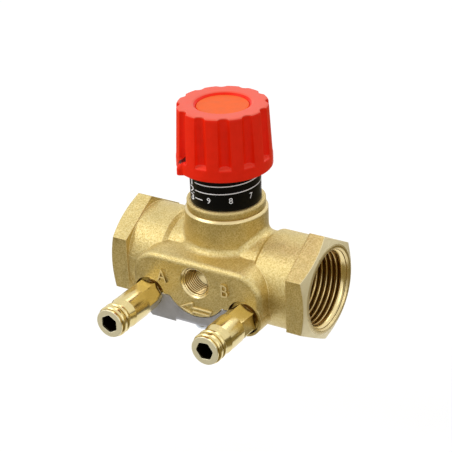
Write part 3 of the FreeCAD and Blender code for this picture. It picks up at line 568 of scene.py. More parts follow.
@made_once("materials")
def blasted_brass(name, rounding, wear=0.0):
    """Cast brass with a blasted grain and rounded edges, smoother and brighter where it was cut afterwards.
    Its edges are paler, partly rubbed metal and partly a painted highlight, and the holes round the plugs are
    darkened brown, a painted shade. Wear makes all of it paler and less of a mirror."""
    paint, finish = Finish(name), settings("valve_finish")
    height, tone = paint.grain(2700.0)
    mask, slant, well_shade = paint.group(machined_zones, Vector=paint.place)
    soft, edge = paint.soft_edges(rounding * MM)
    mottled = tone.blend(shade(finish.cast_brass, 0.92), shade(finish.cast_brass, 1.04))
    pitted = height.ramp(0.33, 0.6).blend(shade(finish.pit_brass, 1.0), mottled)
    # Edges take the paler cut brass: partly rubbed metal, partly a painted highlight.
    worn_and_highlit = (edge * (0.6 * (1 - wear)) + wear).blend(pitted, shade(finish.cut_brass, 1.05))
    turned = slant.blend(worn_and_highlit, shade(finish.chamfer, 1.0))
    bright = mask.blend(turned, shade(finish.cut_brass, 0.9))
    # The wells round the plugs take the dark brown: painted shade.
    paint.set(Base_Color=well_shade.blend(bright, shade(finish.valley_brass, 0.8)),
              Metallic=slant.spread(1.0 - wear, 0.5),
              Roughness=tone.spread(0.42, 0.52) * mask.spread(1.0, 0.6))
    paint.bump(height * mask.spread(1.0, 0.08), 0.8, 0.18 * MM, Normal=soft)
    return paint.material


def thread_finish(paint, along, from_axis, minor, fade, bevel):
    """Crests, which fade out from the minor radius, and bevels in bright cut brass, and valleys painted dark brown
    as painted shade, with tool marks.
    """
    finish = settings("valve_finish")
    bright = from_axis.ramp(minor + fade, minor + 0.02 * MM) | bevel
    height, tone = paint.group(turning_marks, Along=along)
    # The valleys are darkened brown: painted shade.
    valley_shade = tone.blend(shade(finish.valley_brass, 0.7), shade(finish.valley_brass, 1.2))
    paint.set(Base_Color=bright.blend(valley_shade, shade(finish.cut_brass, 1.0)),
              Roughness=bright.spread(0.32, 0.24))
    paint.bump(height, 0.12, 0.04 * MM)
    return paint.material


@made_once("materials")
def thread_brass(name):
    """Brass of the pipe threads, measured from the pipe's axis."""
    paint, sizes = Finish(name, Metallic=1.0), settings("valve_threads")
    inlet, outlet = MOUNTS["inlet_thread"], MOUNTS["outlet_thread"]
    minor = inlet["dims"]["r_mm"] * MM - sizes.pipe_depth
    inlet_bevel = paint.x > inlet["pos_m"][0] - sizes.pipe_bevel
    outlet_bevel = paint.x < outlet["pos_m"][0] + sizes.pipe_bevel
    from_axis = from_spot(paint.y, paint.z)
    return thread_finish(paint, paint.x, from_axis, minor, 0.2 * MM, inlet_bevel | outlet_bevel)


@made_once("materials")
def port_brass(name):
    """Brass of the front port's thread, measured from the port's axis."""
    paint, sizes = Finish(name, Metallic=1.0), settings("valve_threads")
    minor = MOUNTS["impulse_port"]["dims"]["r_mm"] * MM - sizes.port_depth
    bevel = paint.y < PORT[1] + sizes.port_bevel
    from_axis = from_spot(paint.x, paint.z, (PORT[0], PORT[2]))
    return thread_finish(paint, paint.y, from_axis, minor, 0.3 * MM, bevel)


@made_once("materials")
def plug_brass(name):
    """Turned brass of the test plugs, with tool marks, a pale front face, partly non-metal, that is a painted
    highlight, and key sockets darkened with depth, a painted shade.
    """
    paint, finish, nose = Finish(name), settings("valve_finish"), PLUG_LOW.y
    height, tone = paint.group(turning_marks, Along=paint.y)
    socket_radius, face_depth = 3.15 * MM, 0.2 * MM
    # The key sockets darken with depth: painted shade.
    painted_socket_shade = paint.y.ramp(nose + 0.06 * MM, nose + 0.9 * MM)
    socket = (from_plugs(paint.x, paint.z) < socket_radius) * painted_socket_shade
    face = paint.y < nose + face_depth
    metal = tone.blend(shade(finish.cast_brass, 0.98), shade(finish.cast_brass, 1.1))
    # The pale, partly non-metal front face stands in for light it catches: a painted highlight.
    pale = face.blend(metal, shade(finish.nose, 1.0))
    paint.set(Base_Color=socket.blend(pale, shade(finish.valley_brass, 0.06)),
              Metallic=face.spread(1.0, 0.35),
              Roughness=socket * 0.3 + tone.spread(0.16, 0.24))
    paint.bump(height, 0.15, 0.04 * MM)
    return paint.material


@made_once("materials")
def turned_brass_z(name):
    """Lathe-turned brass with tool marks across the stem's axis."""
    paint, brass = Finish(name, Metallic=1.0), settings("valve_finish").cut_brass
    height, tone = paint.group(turning_marks, Along=paint.z)
    paint.set(Base_Color=tone.blend(shade(brass, 0.92), shade(brass, 1.05)),
              Roughness=tone.spread(0.13, 0.24))
    paint.bump(height, 0.12, 0.04 * MM)
    return paint.material


@made_once("materials")
def moulded_plastic(name, key, gloss):
    """Moulded plastic in one of the finish colours, with the fine grain of its mould. It is painted paler on the
    knob's top ring and the flutes' ledges, a painted sheen, and dark in the knob's mark, a slit that leans to the
    right, a painted shade."""
    paint = Finish(name, Specular_IOR_Level=gloss)
    finish, sizes = settings("valve_finish"), settings("valve_knob")
    base = getattr(finish, key)
    height, tone = paint.grain(3500.0)
    x, y, z = paint.x - STEM_X, paint.y, paint.z
    from_stem = from_spot(x, y)
    slit_middle = (sizes.mark_low + sizes.mark_high) / 2 - 0.3 * MM
    slit_lean, slit_shift, slit_half, slit_reach, slit_radius = 47.0, 0.06, 0.055, 2.3 * MM, 15.7 * MM
    marked_half, shelf_radius, ring_depth = 0.2, 15.25 * MM, 0.3 * MM
    off = y.maths("ARCTAN2", x) - math.radians(sizes.flute_angle)
    beside = off.near((z - slit_middle) * slit_lean - slit_shift, slit_half)
    # The slanted slit of the mark is painted dark: painted shade in the mark.
    slit = (from_stem < slit_radius) * beside * z.near(slit_middle, slit_reach)
    # The top ring and the flutes' ledges are painted paler: painted sheen.
    ring = (z > KNOB_HIGH.z - ring_depth) * (from_stem > sizes.cap_radius)
    level = z.near(sizes.flute_end - sizes.flute_slope / 2, sizes.flute_slope / 2)
    shelf = (from_stem < shelf_radius) * level * (abs(off) > marked_half)
    plain = tone.blend(shade(base, 0.96), shade(base, 1.03))
    with_painted_sheen = (ring * 0.6 + shelf * 0.3).blend(plain, shade(finish.dust, 1.0))
    paint.set(Base_Color=slit.blend(with_painted_sheen, shade(base, 0.1)), Roughness=tone.spread(0.34, 0.40))
    paint.bump(height, 0.15, 0.06 * MM)
    return paint.material


@made_once("materials")
def matt_finish(name, key, grains, low, high, metallic=0.0):
    """A plain finish with a slow change of tone and a fine grain: ink, rubber, dial plastic, zinc, or the dark
    brass of the painted shade on the letters' sides.
    """
    paint = Finish(name, Metallic=metallic, Specular_IOR_Level=0.1)
    base = getattr(settings("valve_finish"), key)
    height, tone = paint.grain(grains)
    paint.set(Base_Color=tone.blend(shade(base, 0.9), shade(base, 1.08)), Roughness=tone.spread(low, high))
    paint.bump(height, 0.15, 0.05 * MM)
    return paint.material


@made_once("materials")
def grey_plate(name):
    """Phosphated sheet, its edges painted brighter where the face turns from the front: partly bare sheared metal,
    partly a painted highlight.
    """
    paint, grey = Finish(name, Metallic=0.75), settings("valve_finish").plate
    height, tone = paint.grain(2200.0)
    facing = split(paint.tree, node(paint.tree, "ShaderNodeTexCoord").outputs["Normal"])[1]
    turned_away, sheet_depth = 0.4, 1.25 * MM
    # The plate's edges are painted brighter: partly bare sheared metal, partly a painted highlight.
    edge = (abs(facing) < turned_away) * (paint.y < BOSS_FACE + sheet_depth)
    sheet = tone.blend(shade(grey, 0.9), shade(grey, 1.1))
    paint.set(Base_Color=edge.blend(sheet, shade(grey, 2.2)), Roughness=edge.spread(0.5, 0.34))
    paint.bump(height, 0.2, 0.06 * MM)
    return paint.material


def red_plastic():
    return moulded_plastic("red_knob", "red", 0.2)


def orange_plastic():
    return moulded_plastic("orange_lid", "orange", 0.12)


def zinc_plate():
    return matt_finish("zinc_plate", "zinc", 1800.0, 0.25, 0.38, 1.0)


class VALVE_OT_threads(bpy.types.Operator):
    """Cut the two pipe threads and the port's thread as ridges inside the plain bores"""
    bl_idname = "valve.threads"
    bl_label = "Threads"

    def execute(self, context):
        sizes = settings("valve_threads")
        form = sizes.pipe_pitch, sizes.pipe_depth, sizes.pipe_bevel
        for mount, sign in (("inlet_thread", 1), ("outlet_thread", -1)):
            place, dims = MOUNTS[mount]["pos_m"], MOUNTS[mount]["dims"]
            radius, depth, theta = thread_grid(dims["r_mm"] * MM, *form, dims["length_mm"] * MM)
            across, up = radius * np.cos(theta) * sign, radius * np.sin(theta)
            mesh = grid_mesh(mount, np.stack([place[0] - sign * depth, across, up], -1))
            add_piece(mount + "_ridges", mesh, "valve", thread_brass())
        dims = MOUNTS["impulse_port"]["dims"]
        form = sizes.port_pitch, sizes.port_depth, sizes.port_bevel
        radius, depth, theta = thread_grid(dims["r_mm"] * MM, *form, dims["length_mm"] * MM, around=72)
        mesh = grid_mesh("impulse_port", about_y(PORT, radius, PORT[1] + depth, theta))
        add_piece("impulse_port_ridges", mesh, "valve", port_brass())
        return {"FINISHED"}


class VALVE_OT_knob(bpy.types.Operator):
    """Mould the red knob with its flutes, pointer and triangular mark, and the orange lid"""
    bl_idname = "valve.knob"
    bl_label = "Knob"

    def execute(self, context):
        mesh = grid_mesh("red_knob", self.knob_points())
        add_piece("red_knob", mesh, "knob", red_plastic(), ["knob"])
        rim = settings("valve_knob").cap_radius
        low, high = (corner.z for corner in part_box("knob_cap"))
        corners = [(0.0, high), (0.01 * rim, high), (0.93 * rim, high), (rim, high), (rim, low), (0.0, low)]
        profile = softened(corners, np.array([0, 0, 0, 0.35, 0.1, 0]) * MM)
        lid = about_stem(np.maximum(profile[:, :1], ON_AXIS), profile[:, 1:], full_turn(128))
        add_piece("orange_lid", grid_mesh("orange_lid", lid), "knob", orange_plastic(),
                  ["knob_cap"])
        return {"FINISHED"}

    def knob_points(self):
        """The knob's section turned about the stem, with its outer wall pressed in and drawn out.

        Flutes: about each flute's own axis the wall is held inside R = A cos a - sign(s) sqrt|s|, where
        s = r^2 - (A sin a)^2, a is the angle from the flute's middle, A the distance of its axis and r its
        radius. Below, a ledge holds R at or beyond a cone about the stem. The two radii p and q join softly
        as (p + q - sqrt((p - q)^2 + k^2)) / 2. Pointer: the wall is drawn out to a triangle in plan, down a
        ramp. Mark: inside a triangle on one flute the wall is cut back, and the columns are drawn to its
        sides.
        """
        sizes = settings("valve_knob")
        profile, wall = self.knob_section()
        pitch = 360.0 / sizes.flutes
        half = pitch / 2
        flute_edge = np.linspace(4.8, 8.4, 14)
        columns = np.concatenate([np.linspace(-half, half, 25), -flute_edge, flute_edge])
        step = np.unique(columns.round(6))[:-1]
        phi = (sizes.flute_angle + pitch * np.arange(sizes.flutes)[:, None] + step).reshape(1, -1)
        radius, height = (profile[:, column:column + 1] * np.ones_like(phi) for column in (0, 1))

        mark_tall = sizes.mark_high - sizes.mark_low
        widest = math.degrees(math.asin(mark_tall / 2 / sizes.skirt_radius))
        tip_share, fade = 0.02, 1.0 * MM
        below = 1 - (1 - tip_share) * smoothstep(-fade, 0.0, height - sizes.mark_low)
        share = np.clip((height - sizes.mark_low) / mark_tall, tip_share, 1.0)
        share = np.where(height < sizes.mark_low, below, share)
        off = angle_from(phi, sizes.flute_angle)
        outer = half - (half - np.abs(off)) * (half - widest * share) / (half - widest)
        drawn = np.where(np.abs(off) <= widest, np.abs(off) * share, outer)
        phi = phi + np.where(np.abs(off) < half, np.sign(off) * drawn - off, 0.0)

        off = np.radians(angle_from(phi, sizes.flute_angle, pitch))
        inside = sizes.flute_radius ** 2 - (sizes.flute_axis * np.sin(off)) ** 2
        limit = sizes.flute_axis * np.cos(off) - np.sign(inside) * np.sqrt(np.abs(inside))
        floor = sizes.flute_axis - sizes.flute_radius
        ledge = floor + (sizes.skirt_radius - floor) * (sizes.flute_end - height) / sizes.flute_slope
        limit = np.maximum(limit, ledge)
        soft = (radius + limit - np.sqrt((radius - limit) ** 2 + sizes.edge_softness ** 2)) / 2
        fluted = np.where(wall & (height > sizes.mark_low - 0.3 * MM), np.minimum(radius, soft), radius)

        marked = np.abs(angle_from(phi, sizes.flute_angle)) <= widest * share * 1.0001
        marked &= (height >= sizes.mark_low) & (height <= sizes.mark_high)
        fluted = np.where(wall & marked, np.minimum(fluted, sizes.mark_floor), fluted)

        off = np.radians(angle_from(phi, sizes.pointer_angle))
        base, tip, root, widest_turn = 2.6 * MM, 0.45 * MM, 13.2 * MM, 0.3
        slope = (base - tip) / (sizes.pointer_reach - root)
        tab = (base + slope * root) / (np.sin(np.abs(off)) + slope * np.cos(off))
        tab = np.minimum(tab, sizes.pointer_reach / np.cos(off))
        ramp = np.clip((sizes.pointer_top - height) / (sizes.pointer_top - sizes.pointer_shoulder), 0, 1)
        drawn_out = wall & (np.abs(off) < widest_turn) & (tab > fluted)
        radius = np.where(drawn_out, fluted + ramp * (tab - fluted), fluted)
        return about_stem(radius, height, np.radians(phi))

    def knob_section(self):
        """The knob's half section as radius and height, and which of its points lie on the outer wall."""
        sizes = settings("valve_knob")
        top, rim, skirt_top = KNOB_HIGH.z, sizes.rim_bottom, sizes.rim_bottom + 4.2 * MM
        cap_low, cap_high = (corner.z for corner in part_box("knob_cap"))
        hub, bore, pocket, ring = 6.2 * MM, 3.55 * MM, 5.0 * MM, 13.2 * MM
        hub_bottom, pocket_floor = 45.2 * MM, 51.85 * MM
        seat, lip = sizes.cap_radius + 0.05 * MM, sizes.cap_radius + 0.06 * MM
        levels = [37.6, 38.2, 38.44, 38.46], np.arange(39.0, 43.2, 0.12), np.arange(43.5, 56.0, 0.8)
        levels = np.concatenate(levels) * MM
        side = np.interp(levels, [skirt_top, top], [sizes.skirt_radius, sizes.top_radius])
        corners = [(sizes.cavity_radius, rim), (sizes.skirt_radius, rim)]
        corners += list(zip(side, levels))
        corners += [(sizes.top_radius, top), (ring, top), (sizes.recess_radius, top)]
        corners += [(lip, cap_high - 0.1 * MM), (seat, cap_low), (pocket, cap_low), (pocket, pocket_floor)]
        corners += [(bore, pocket_floor), (bore, hub_bottom), (hub, hub_bottom)]
        corners += [(hub, sizes.cavity_top), (sizes.cavity_radius, sizes.cavity_top)]
        upper = [0.9, 0.0, 0.35, 0.3, 0.1, 0.1, 0.1, 0.1, 0.1, 0.2, 0.2, 0.4]
        rounding = np.array([0.3, 1.2] + [0.0] * len(levels) + upper) * MM
        profile = softened(corners, rounding, 6)
        radius, height = profile[:, :1], profile[:, 1:]
        wall = (radius > ring + 0.05 * MM) & ((height > rim + 0.001 * MM) | (radius > ring + 1.0 * MM))
        return profile, wall


class VALVE_OT_plugs(bpy.types.Operator):
    """Turn the two test plugs with their beads, spanner flats and key sockets"""
    bl_idname = "valve.plugs"
    bl_label = "Test plugs"

    def execute(self, context):
        for letter, place in PLUG_PLACES.items():
            cad = "test_plug_" + letter
            mesh = grid_mesh(cad, self.plug_points(letter, place))
            add_piece("turned_plug_" + letter, mesh, "plug_" + letter, plug_brass(), [cad])
        return {"FINISHED"}

    def plug_points(self, letter, place):
        """A closed section of radius, distance, share of flats and share of socket, turned about an axis.

        The radius moves from round to the hexagon of the flats, or of the key socket, by its share. The
        flats' corner lies at the plug's turn, and the socket's corner 30 degrees on. Lengths are millimetres.
        """
        sizes = settings("valve_plug")
        front = PLUG_LOW.y / MM
        rim, groove, bead = sizes.rim_radius / MM, sizes.groove_radius / MM, sizes.bead_radius / MM
        inside = sizes.socket / 2 / MM
        flats_corner, socket_corner = 5.17, 3.0
        outline = [(rim, 0.0), (rim, 0.7), (groove, 0.7), (groove, 1.1), (rim, 1.1), (bead, 1.5)]
        outline += [(bead, 2.7), (rim, 3.1), (groove, 3.1), (groove, 3.5), (rim, 3.5), (bead, 3.9)]
        outline += [(bead, 4.6), (rim, 5.0), (groove, 5.0), (groove, 5.6)]
        outline += [(bead, 7.9), (bead, 8.1), (bead, 15.2)]
        hidden = [(4.3, 22.95), (4.3, 24.4), (5.35, 24.4), (5.35, 25.43), (4.03, 25.43), (4.03, 27.17)]
        hidden += [(5.35, 27.17), (5.35, 28.2), (3.5, 28.2), (3.5, 33.95), (1.6, 33.95), (1.6, 34.95)]
        hidden += [(0.0, 34.95), (0.0, 28.5), (1.5, 28.5), (1.5, 6.2)]
        corners = [(inside, 0.0, 0, 1), (rim, 0.0, 0, 0.9), (rim - 0.4, 0.0, 0, 0)]
        corners += [(radius, depth, 0, 0) for radius, depth in outline]
        corners += [(bead, 15.22, 1, 0), (bead, 22.6, 1, 0)]
        corners += [(radius, depth, 0, 0) for radius, depth in hidden] + [(inside, 6.0, 0, 1)]
        rounding = np.full(len(corners), 0.05)
        rounding[[3, 8, 9, 14, 15, 19, 20, 21]] = 0.3, 0.25, 0.25, 0.2, 0.2, 0.08, 0.05, 0.02
        rounding[[0, 1, 2, 35, 36, 37]] = 0.03, 0.0, 0.0, 0.02, 0.0, 0.0
        section = softened(corners, rounding, 5)
        theta = full_turn(180)
        turned = theta - math.radians(sizes.turn_a if letter == "a" else sizes.turn_b)
        radius, distance, flats, key = (section[:, column:column + 1] for column in range(4))
        outer = hexagon_radius(sizes.across_flats / MM, turned, flats_corner)
        socket = hexagon_radius(sizes.socket / MM, turned + math.pi / 6, socket_corner)
        radius = radius * (1 - flats - key) + flats * outer + key * socket
        return about_y(place, np.maximum(radius, ON_AXIS / MM) * MM, (front + distance) * MM, theta)


class VALVE_OT_dial(bpy.types.Operator):
    """Print the turn rings and the digits on the black dial"""
    bl_idname = "valve.dial"
    bl_label = "Dial print"

    def execute(self, context):
        sizes = settings("valve_dial")
        tenths_lift, turns_drop, turns_stretch = 0.25 * MM, 0.2 * MM, 2.1
        paint = matt_finish("print_white", "white", 3000.0, 0.5, 0.6)
        for turn, span in enumerate((340.0, 340.0, 17.5)):
            name = "turn_line_%d" % turn
            mesh = grid_mesh(name, self.line_points(turn, span), wrap=False)
            add_piece(name, mesh, "valve", paint)
        for digit in range(1, 10):
            angle = sizes.nine_angle + 36 * (9 - digit)
            height = self.line_height(2, angle) + tenths_lift
            self.add_digit("tenth_%d" % digit, digit, angle, height, sizes.digit_height, 1.0, paint)
        for turn in range(3):
            angle = sizes.turn_angle
            height = self.line_height(turn, angle) - turns_drop
            self.add_digit("turn_%d" % turn, turn + 1, angle, height, sizes.turn_height, turns_stretch, paint)
        return {"FINISHED"}

    def line_height(self, turn, angle):
        """Height of a turn's line, which climbs by the spindle's pitch over a full turn."""
        sizes = settings("valve_dial")
        return sizes.first_line - turn * sizes.line_pitch + sizes.rise * (angle - sizes.start_angle) / 360

    def line_points(self, turn, span):
        """A flat bar's section carried up its helix round the dial, drawn in at both ends."""
        sizes = settings("valve_dial")
        angle = sizes.start_angle + np.linspace(0, span, max(8, int(span)))
        angle = np.concatenate([angle[:1], angle, angle[-1:]])
        shrink = np.ones((len(angle), 1))
        shrink[[0, -1]] = 0.01
        across = np.array([-0.5, 0.5, 0.5, -0.5]) * sizes.line_width
        out = np.array([0.0, 0.0, 1.0, 1.0]) * sizes.print_height
        radius = DRUM_HIGH.x - STEM_X + out * shrink
        height = self.line_height(turn, angle)[:, None] + across * shrink
        return about_stem(radius, height, np.radians(angle)[:, None])

    def add_digit(self, name, digit, angle, height, tall, stretch, paint):
        """A digit wrapped on the dial: its width runs round the drum and its thickness runs outwards."""
        drum = DRUM_HIGH.x - STEM_X
        mesh, flat, front = text_mesh(name, str(digit), tall)
        phi = math.radians(angle) + flat[:, 0] * stretch / drum
        radius = drum + np.where(front, 2 * settings("valve_dial").print_height, 0.0)
        reshape(mesh, about_stem(radius, height + flat[:, 1], phi))
        add_piece(name, mesh, "valve", paint)


class VALVE_OT_casting_marks(bpy.types.Operator):
    """Raise the letters of the two test points and the flow arrow on the boss"""
    bl_idname = "valve.casting_marks"
    bl_label = "Casting marks"

    def execute(self, context):
        sizes = settings("valve_marks")
        metal = blasted_brass("letter_brass", 0.12, 0.5)
        # The letters' sides, the faces turned from the front, take a dark brass: painted shade.
        shadow = matt_finish("letter_side", "pit_brass", 2500.0, 0.45, 0.6, 1.0)
        for letter, place in (("A", sizes.letter_a), ("B", sizes.letter_b)):
            mesh, flat, front = text_mesh("letter_" + letter, letter, sizes.letter_height)
            x = STEM_X + place[0] + flat[:, 0] * sizes.letter_stretch
            y = BOSS_FACE - np.where(front, sizes.relief, -sizes.relief / 2)
            reshape(mesh, np.stack([x, y, place[1] + flat[:, 1]], -1))
            add_piece("letter_" + letter.lower(), mesh, "valve", metal)
            mesh.materials.append(shadow)
            # Faces turned from the front take the painted shade.
            facing = np.empty(3 * len(mesh.polygons))
            mesh.polygons.foreach_get("normal", facing)
            mesh.polygons.foreach_set("material_index", (np.abs(facing[1::3]) < 0.5).astype(np.int32))
        add_piece("flow_arrow", grid_mesh("flow_arrow", self.arrow_points()), "valve", metal)
        return {"FINISHED"}

    def arrow_points(self):
        """A rounded ridge carried round the arrow's outline: at each point of the closed path the section
        runs across the path, by half the width times the cosine of an angle, and out by its sine."""
        sizes = settings("valve_marks")
        corner = 0.25 * MM
        outline = np.array([(-5.7, -6.9), (-1.2, -4.6), (-1.2, -6.2), (5.9, -6.2), (5.2, -7.7), (-1.0, -7.7),
                            (-1.0, -8.7)]) * MM
        path = filled(softened(outline, corner, 5), corner)
        along = np.roll(path, -1, 0) - np.roll(path, 1, 0)
        across = np.stack([-along[:, 1], along[:, 0]], 1) / np.linalg.norm(along, axis=1, keepdims=True)
        turn = full_turn(12)
        offset = sizes.ridge_width / 2 * np.cos(turn)
        x, z = (path[:, k:k + 1] + across[:, k:k + 1] * offset for k in (0, 1))
        return np.stack(np.broadcast_arrays(STEM_X + x, BOSS_FACE - sizes.relief * np.sin(turn), z), -1)


class VALVE_OT_plate_screw(bpy.types.Operator):
    """Turn the pan head screw under the plate and press a cross into its head"""
    bl_idname = "valve.plate_screw"
    bl_label = "Plate screw"

    def execute(self, context):
        low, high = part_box("plate_screw")
        head, shank, rim, crown = (high.x - low.x) / 2, 1.5 * MM, low.z + 1.9 * MM, low.z + 1.0 * MM
        corners = [(0.0, low.z), (head * 0.75, low.z), (head, crown), (head, rim), (shank, rim)]
        corners += [(shank, high.z), (0.0, high.z)]
        rounding = np.array([0, 0.7, 0.5, 0.15, 0.1, 0.3, 0]) * MM
        section = filled(softened(corners, rounding, 6), 0.12 * MM)
        theta = full_turn(144)
        radius = np.maximum(section[:, :1], ON_AXIS) * np.ones_like(theta)
        z = section[:, 1:] * np.ones_like(theta)
        arm = np.minimum(np.abs(radius * np.cos(theta)), np.abs(radius * np.sin(theta)))
        pressed = smoothstep(0.42 * MM, 0.3 * MM, arm) * smoothstep(1.75 * MM, 1.5 * MM, radius)
        cross_depth, cross_end = 1.0 * MM, 2.2 * MM
        z = z + cross_depth * pressed * (z < low.z + 0.6 * MM) * (1 - radius / cross_end)
        x, y = (low.x + high.x) / 2 + radius * np.cos(theta), (low.y + high.y) / 2 + radius * np.sin(theta)
        mesh = grid_mesh("plate_screw_head", np.stack([x, y, z], -1))
        add_piece("cross_head_screw", mesh, "valve", zinc_plate(), ["plate_screw"])
        return {"FINISHED"}


class VALVE_OT_finishes(bpy.types.Operator):
    """Give every CAD node that stays in view its finish"""
    bl_idname = "valve.finishes"
    bl_label = "Finishes"

    def execute(self, context):
        seal = matt_finish("rubber_seal", "rubber", 2500.0, 0.5, 0.62)
        chosen = {
            "valve_body": blasted_brass("body_brass", 0.45),
            "bonnet": blasted_brass("bonnet_brass", 1.6),
            "scale_drum": matt_finish("black_dial", "black", 3200.0, 0.34, 0.42),
            "retaining_plate": grey_plate(),
            "test_plug_a": plug_brass(),
            "test_plug_b": plug_brass(),
            "knob": red_plastic(),
            "knob_cap": orange_plastic(),
        }
        chosen.update(dict.fromkeys(("spindle", "valve_cone", "seal_washer"), turned_brass_z()))
        chosen.update(dict.fromkeys(("knob_screw", "cone_clip", "plate_screw"), zinc_plate()))
        for name, item in NODES.items():
            item.data.materials.clear()
            item.data.materials.append(chosen.get(name, seal))
        return {"FINISHED"}


class VALVE_OT_stage(bpy.types.Operator):
    """Set the camera, the pale floor, the soft lamps and the white surroundings"""
    bl_idname = "valve.stage"
    bl_label = "Stage"

    def execute(self, context):
        centre = Vector((STEM_X, 0.0, 0.0))
        self.add_camera(context, centre)
        self.add_floor(context, centre)
        self.add_cards(context, centre)
        self.add_world(context)
        context.scene.view_settings.view_transform = "Standard"
        self.add_lamp(context, "key_lamp", centre, (-0.45, -0.42, 0.62), 0.42, 1.45)
        self.add_lamp(context, "fill_lamp", centre, (0.75, -0.35, 0.35), 0.5, 0.8)
        self.add_lamp(context, "back_lamp", centre, (0.05, 0.45, 0.75), 0.5, 1.3)
        side = self.add_lamp(context, "side_lamp", centre, (-0.7, -0.3, 0.25), 0.4, 2.0)
        side.visible_glossy = False
        return {"FINISHED"}

    def add_camera(self, context, centre):
        """A camera turned so that the valve's centre falls on its column and row of the image."""
        sizes = settings("valve_stage")
        image, sensor = 452, 36.0
        azimuth, elevation, roll = map(math.radians, (sizes.azimuth, sizes.elevation, sizes.roll))
        back = Vector((math.sin(azimuth) * math.cos(elevation), -math.cos(azimuth) * math.cos(elevation),
                       math.sin(elevation)))
        level = Vector((math.cos(azimuth), math.sin(azimuth), 0.0))
        upright = back.cross(level)
        right = math.cos(roll) * level + math.sin(roll) * upright
        up = math.cos(roll) * upright - math.sin(roll) * level
        focal = sizes.lens / sensor * image
        aim = (image / 2 - sizes.centre_u) / focal * right + (sizes.centre_v - image / 2) / focal * up - back
        backward = -aim.normalized()
        across = up.cross(backward).normalized()
        turn = Matrix((across, backward.cross(across), backward)).transposed()
        data = bpy.data.cameras.new("camera")
        data.lens = sizes.lens
        data.sensor_width = sensor
        data.clip_start = 0.01
        camera = bpy.data.objects.new("camera", data)
        camera.matrix_world = Matrix.Translation(centre + back * sizes.distance) @ turn.to_4x4()
        context.scene.collection.objects.link(camera)
        context.scene.camera = camera

    def add_sheet(self, context, name, corners, material):
        """One face between four corners."""
        mesh = bpy.data.meshes.new(name)
        mesh.from_pydata(corners, [], [(0, 1, 2, 3)])
        mesh.materials.append(material)
        sheet = bpy.data.objects.new(name, mesh)
        context.scene.collection.objects.link(sheet)
        return sheet

    def add_floor(self, context, centre):
        """A wide pale floor, white to the camera and in reflections except for the shadow on it."""
        half, drop = 4.0, settings("valve_stage").floor_drop
        material, tree, surface = empty_material("floor")
        paper = node(tree, "ShaderNodeBsdfDiffuse", {"Color": (0.35, 0.35, 0.35, 1.0)})
        glow = node(tree, "ShaderNodeEmission", {"Strength": self.seen(tree) * 0.72})
        both = node(tree, "ShaderNodeAddShader", {0: paper.outputs[0], 1: glow.outputs[0]})
        put(tree, both.outputs[0], surface)
        corners = [(centre.x + u * half, v * half, -drop) for u, v in ((-1, -1), (1, -1), (1, 1), (-1, 1))]
        floor = self.add_sheet(context, "floor", corners, material)

    def add_cards(self, context, centre):
        """Dark cards on the floor in front and at both sides, and one upright at the right, outside the
        picture, for the reflections alone."""
        sizes = settings("valve_stage")
        azimuth = math.radians(sizes.azimuth)
        ahead = Vector((math.sin(azimuth), -math.cos(azimuth), 0.0))
        right = Vector((math.cos(azimuth), math.sin(azimuth), 0.0))
        level = centre - Vector((0.0, 0.0, sizes.floor_drop - MM))
        material, tree, surface = empty_material("card")
        dark = node(tree, "ShaderNodeBsdfDiffuse", {"Color": shade(settings("valve_finish").card, 1.0)})
        put(tree, dark.outputs[0], surface)
        flat = {"front_card": (-1.5, 1.5, 0.05, 1.5), "left_card": (-1.5, -0.1, -0.5, 0.05)}
        flat["right_card"] = (0.1, 1.5, -0.5, 0.05)
        places = {name: [(a, c, 0.0), (b, c, 0.0), (b, d, 0.0), (a, d, 0.0)]
                  for name, (a, b, c, d) in flat.items()}
        places["upright_card"] = [(0.5, -0.05, 0.0), (0.5, 0.9, 0.0), (0.5, 0.9, 0.2), (0.5, -0.05, 0.2)]
        for name, corners in places.items():
            corners = [level + right * u + ahead * v + Vector((0.0, 0.0, w)) for u, v, w in corners]
            card = self.add_sheet(context, name, corners, material)
            card.visible_camera = False
            card.visible_diffuse = False
            card.visible_shadow = False

    def seen(self, tree):
        """1 on rays from the camera, in reflections and through clear stuff, 0 on rays that only light."""
        rays = node(tree, "ShaderNodeLightPath").outputs
        direct = Value(tree, rays["Is Camera Ray"]) | Value(tree, rays["Is Glossy Ray"])
        return direct | Value(tree, rays["Is Transmission Ray"])

    def add_world(self, context):
        """White surroundings to the camera and in reflections, and a softer light on the object."""
        world = bpy.data.worlds.new("surroundings")
        world.use_nodes = True
        tree = world.node_tree
        tree.nodes.clear()
        strength = self.seen(tree).spread(0.6, 1.0)
        light = node(tree, "ShaderNodeBackground", {"Color": (1.0, 1.0, 1.0, 1.0), "Strength": strength})
        node(tree, "ShaderNodeOutputWorld", {"Surface": light.outputs[0]})
        context.scene.world = world

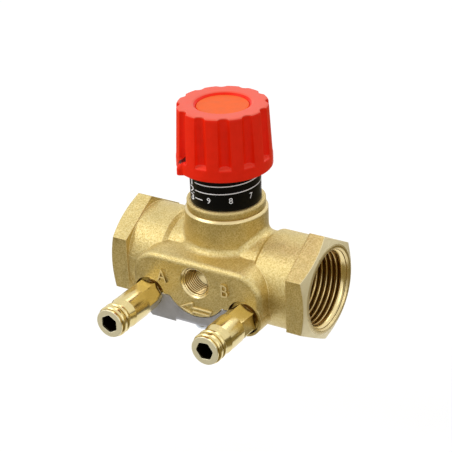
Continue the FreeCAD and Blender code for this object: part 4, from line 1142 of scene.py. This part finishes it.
    def add_lamp(self, context, name, target, offset, size, power):
        """A square soft lamp beside the valve, aimed at it."""
        data = bpy.data.lights.new(name, "AREA")
        data.size = size
        data.energy = power
        lamp = bpy.data.objects.new(name, data)
        aim = (-Vector(offset)).to_track_quat("-Z", "Y").to_matrix().to_4x4()
        lamp.matrix_world = Matrix.Translation(target + Vector(offset)) @ aim
        context.scene.collection.objects.link(lamp)
        return lamp


OPERATORS = (VALVE_OT_threads, VALVE_OT_knob, VALVE_OT_plugs, VALVE_OT_dial, VALVE_OT_casting_marks,
             VALVE_OT_plate_screw, VALVE_OT_finishes, VALVE_OT_stage)


class VALVE_PT_looks(bpy.types.Panel):
    """Sizes, colours and steps of the valve's looks"""
    bl_idname = "VALVE_PT_looks"
    bl_label = "Balancing Valve"
    bl_space_type = "VIEW_3D"
    bl_region_type = "UI"
    bl_category = "Valve"

    def draw(self, context):
        for operator in OPERATORS:
            self.layout.operator(operator.bl_idname)
        for name, group in GROUPS.items():
            box = self.layout.box()
            box.label(text=group.__doc__)
            for key in group.__annotations__:
                box.prop(getattr(context.scene, name), key)


def register():
    """Register all classes. Each property takes its name in the panel from its attribute."""
    for name, group in GROUPS.items():
        for key, given in group.__annotations__.items():
            given.keywords["name"] = key.replace("_", " ").capitalize()
        bpy.utils.register_class(group)
        setattr(bpy.types.Scene, name, bpy.props.PointerProperty(type=group))
    for item in OPERATORS + (VALVE_PT_looks,):
        bpy.utils.register_class(item)


def unregister():
    for item in reversed(OPERATORS + (VALVE_PT_looks,)):
        bpy.utils.unregister_class(item)
    for name, group in reversed(GROUPS.items()):
        delattr(bpy.types.Scene, name)
        bpy.utils.unregister_class(group)


def main():
    """Dress the valve piece by piece."""
    register()
    bpy.ops.valve.threads()
    bpy.ops.valve.knob()
    bpy.ops.valve.plugs()
    bpy.ops.valve.dial()
    bpy.ops.valve.casting_marks()
    bpy.ops.valve.plate_screw()
    bpy.ops.valve.finishes()
    bpy.ops.valve.stage()


if __name__ == "__main__":
    main()
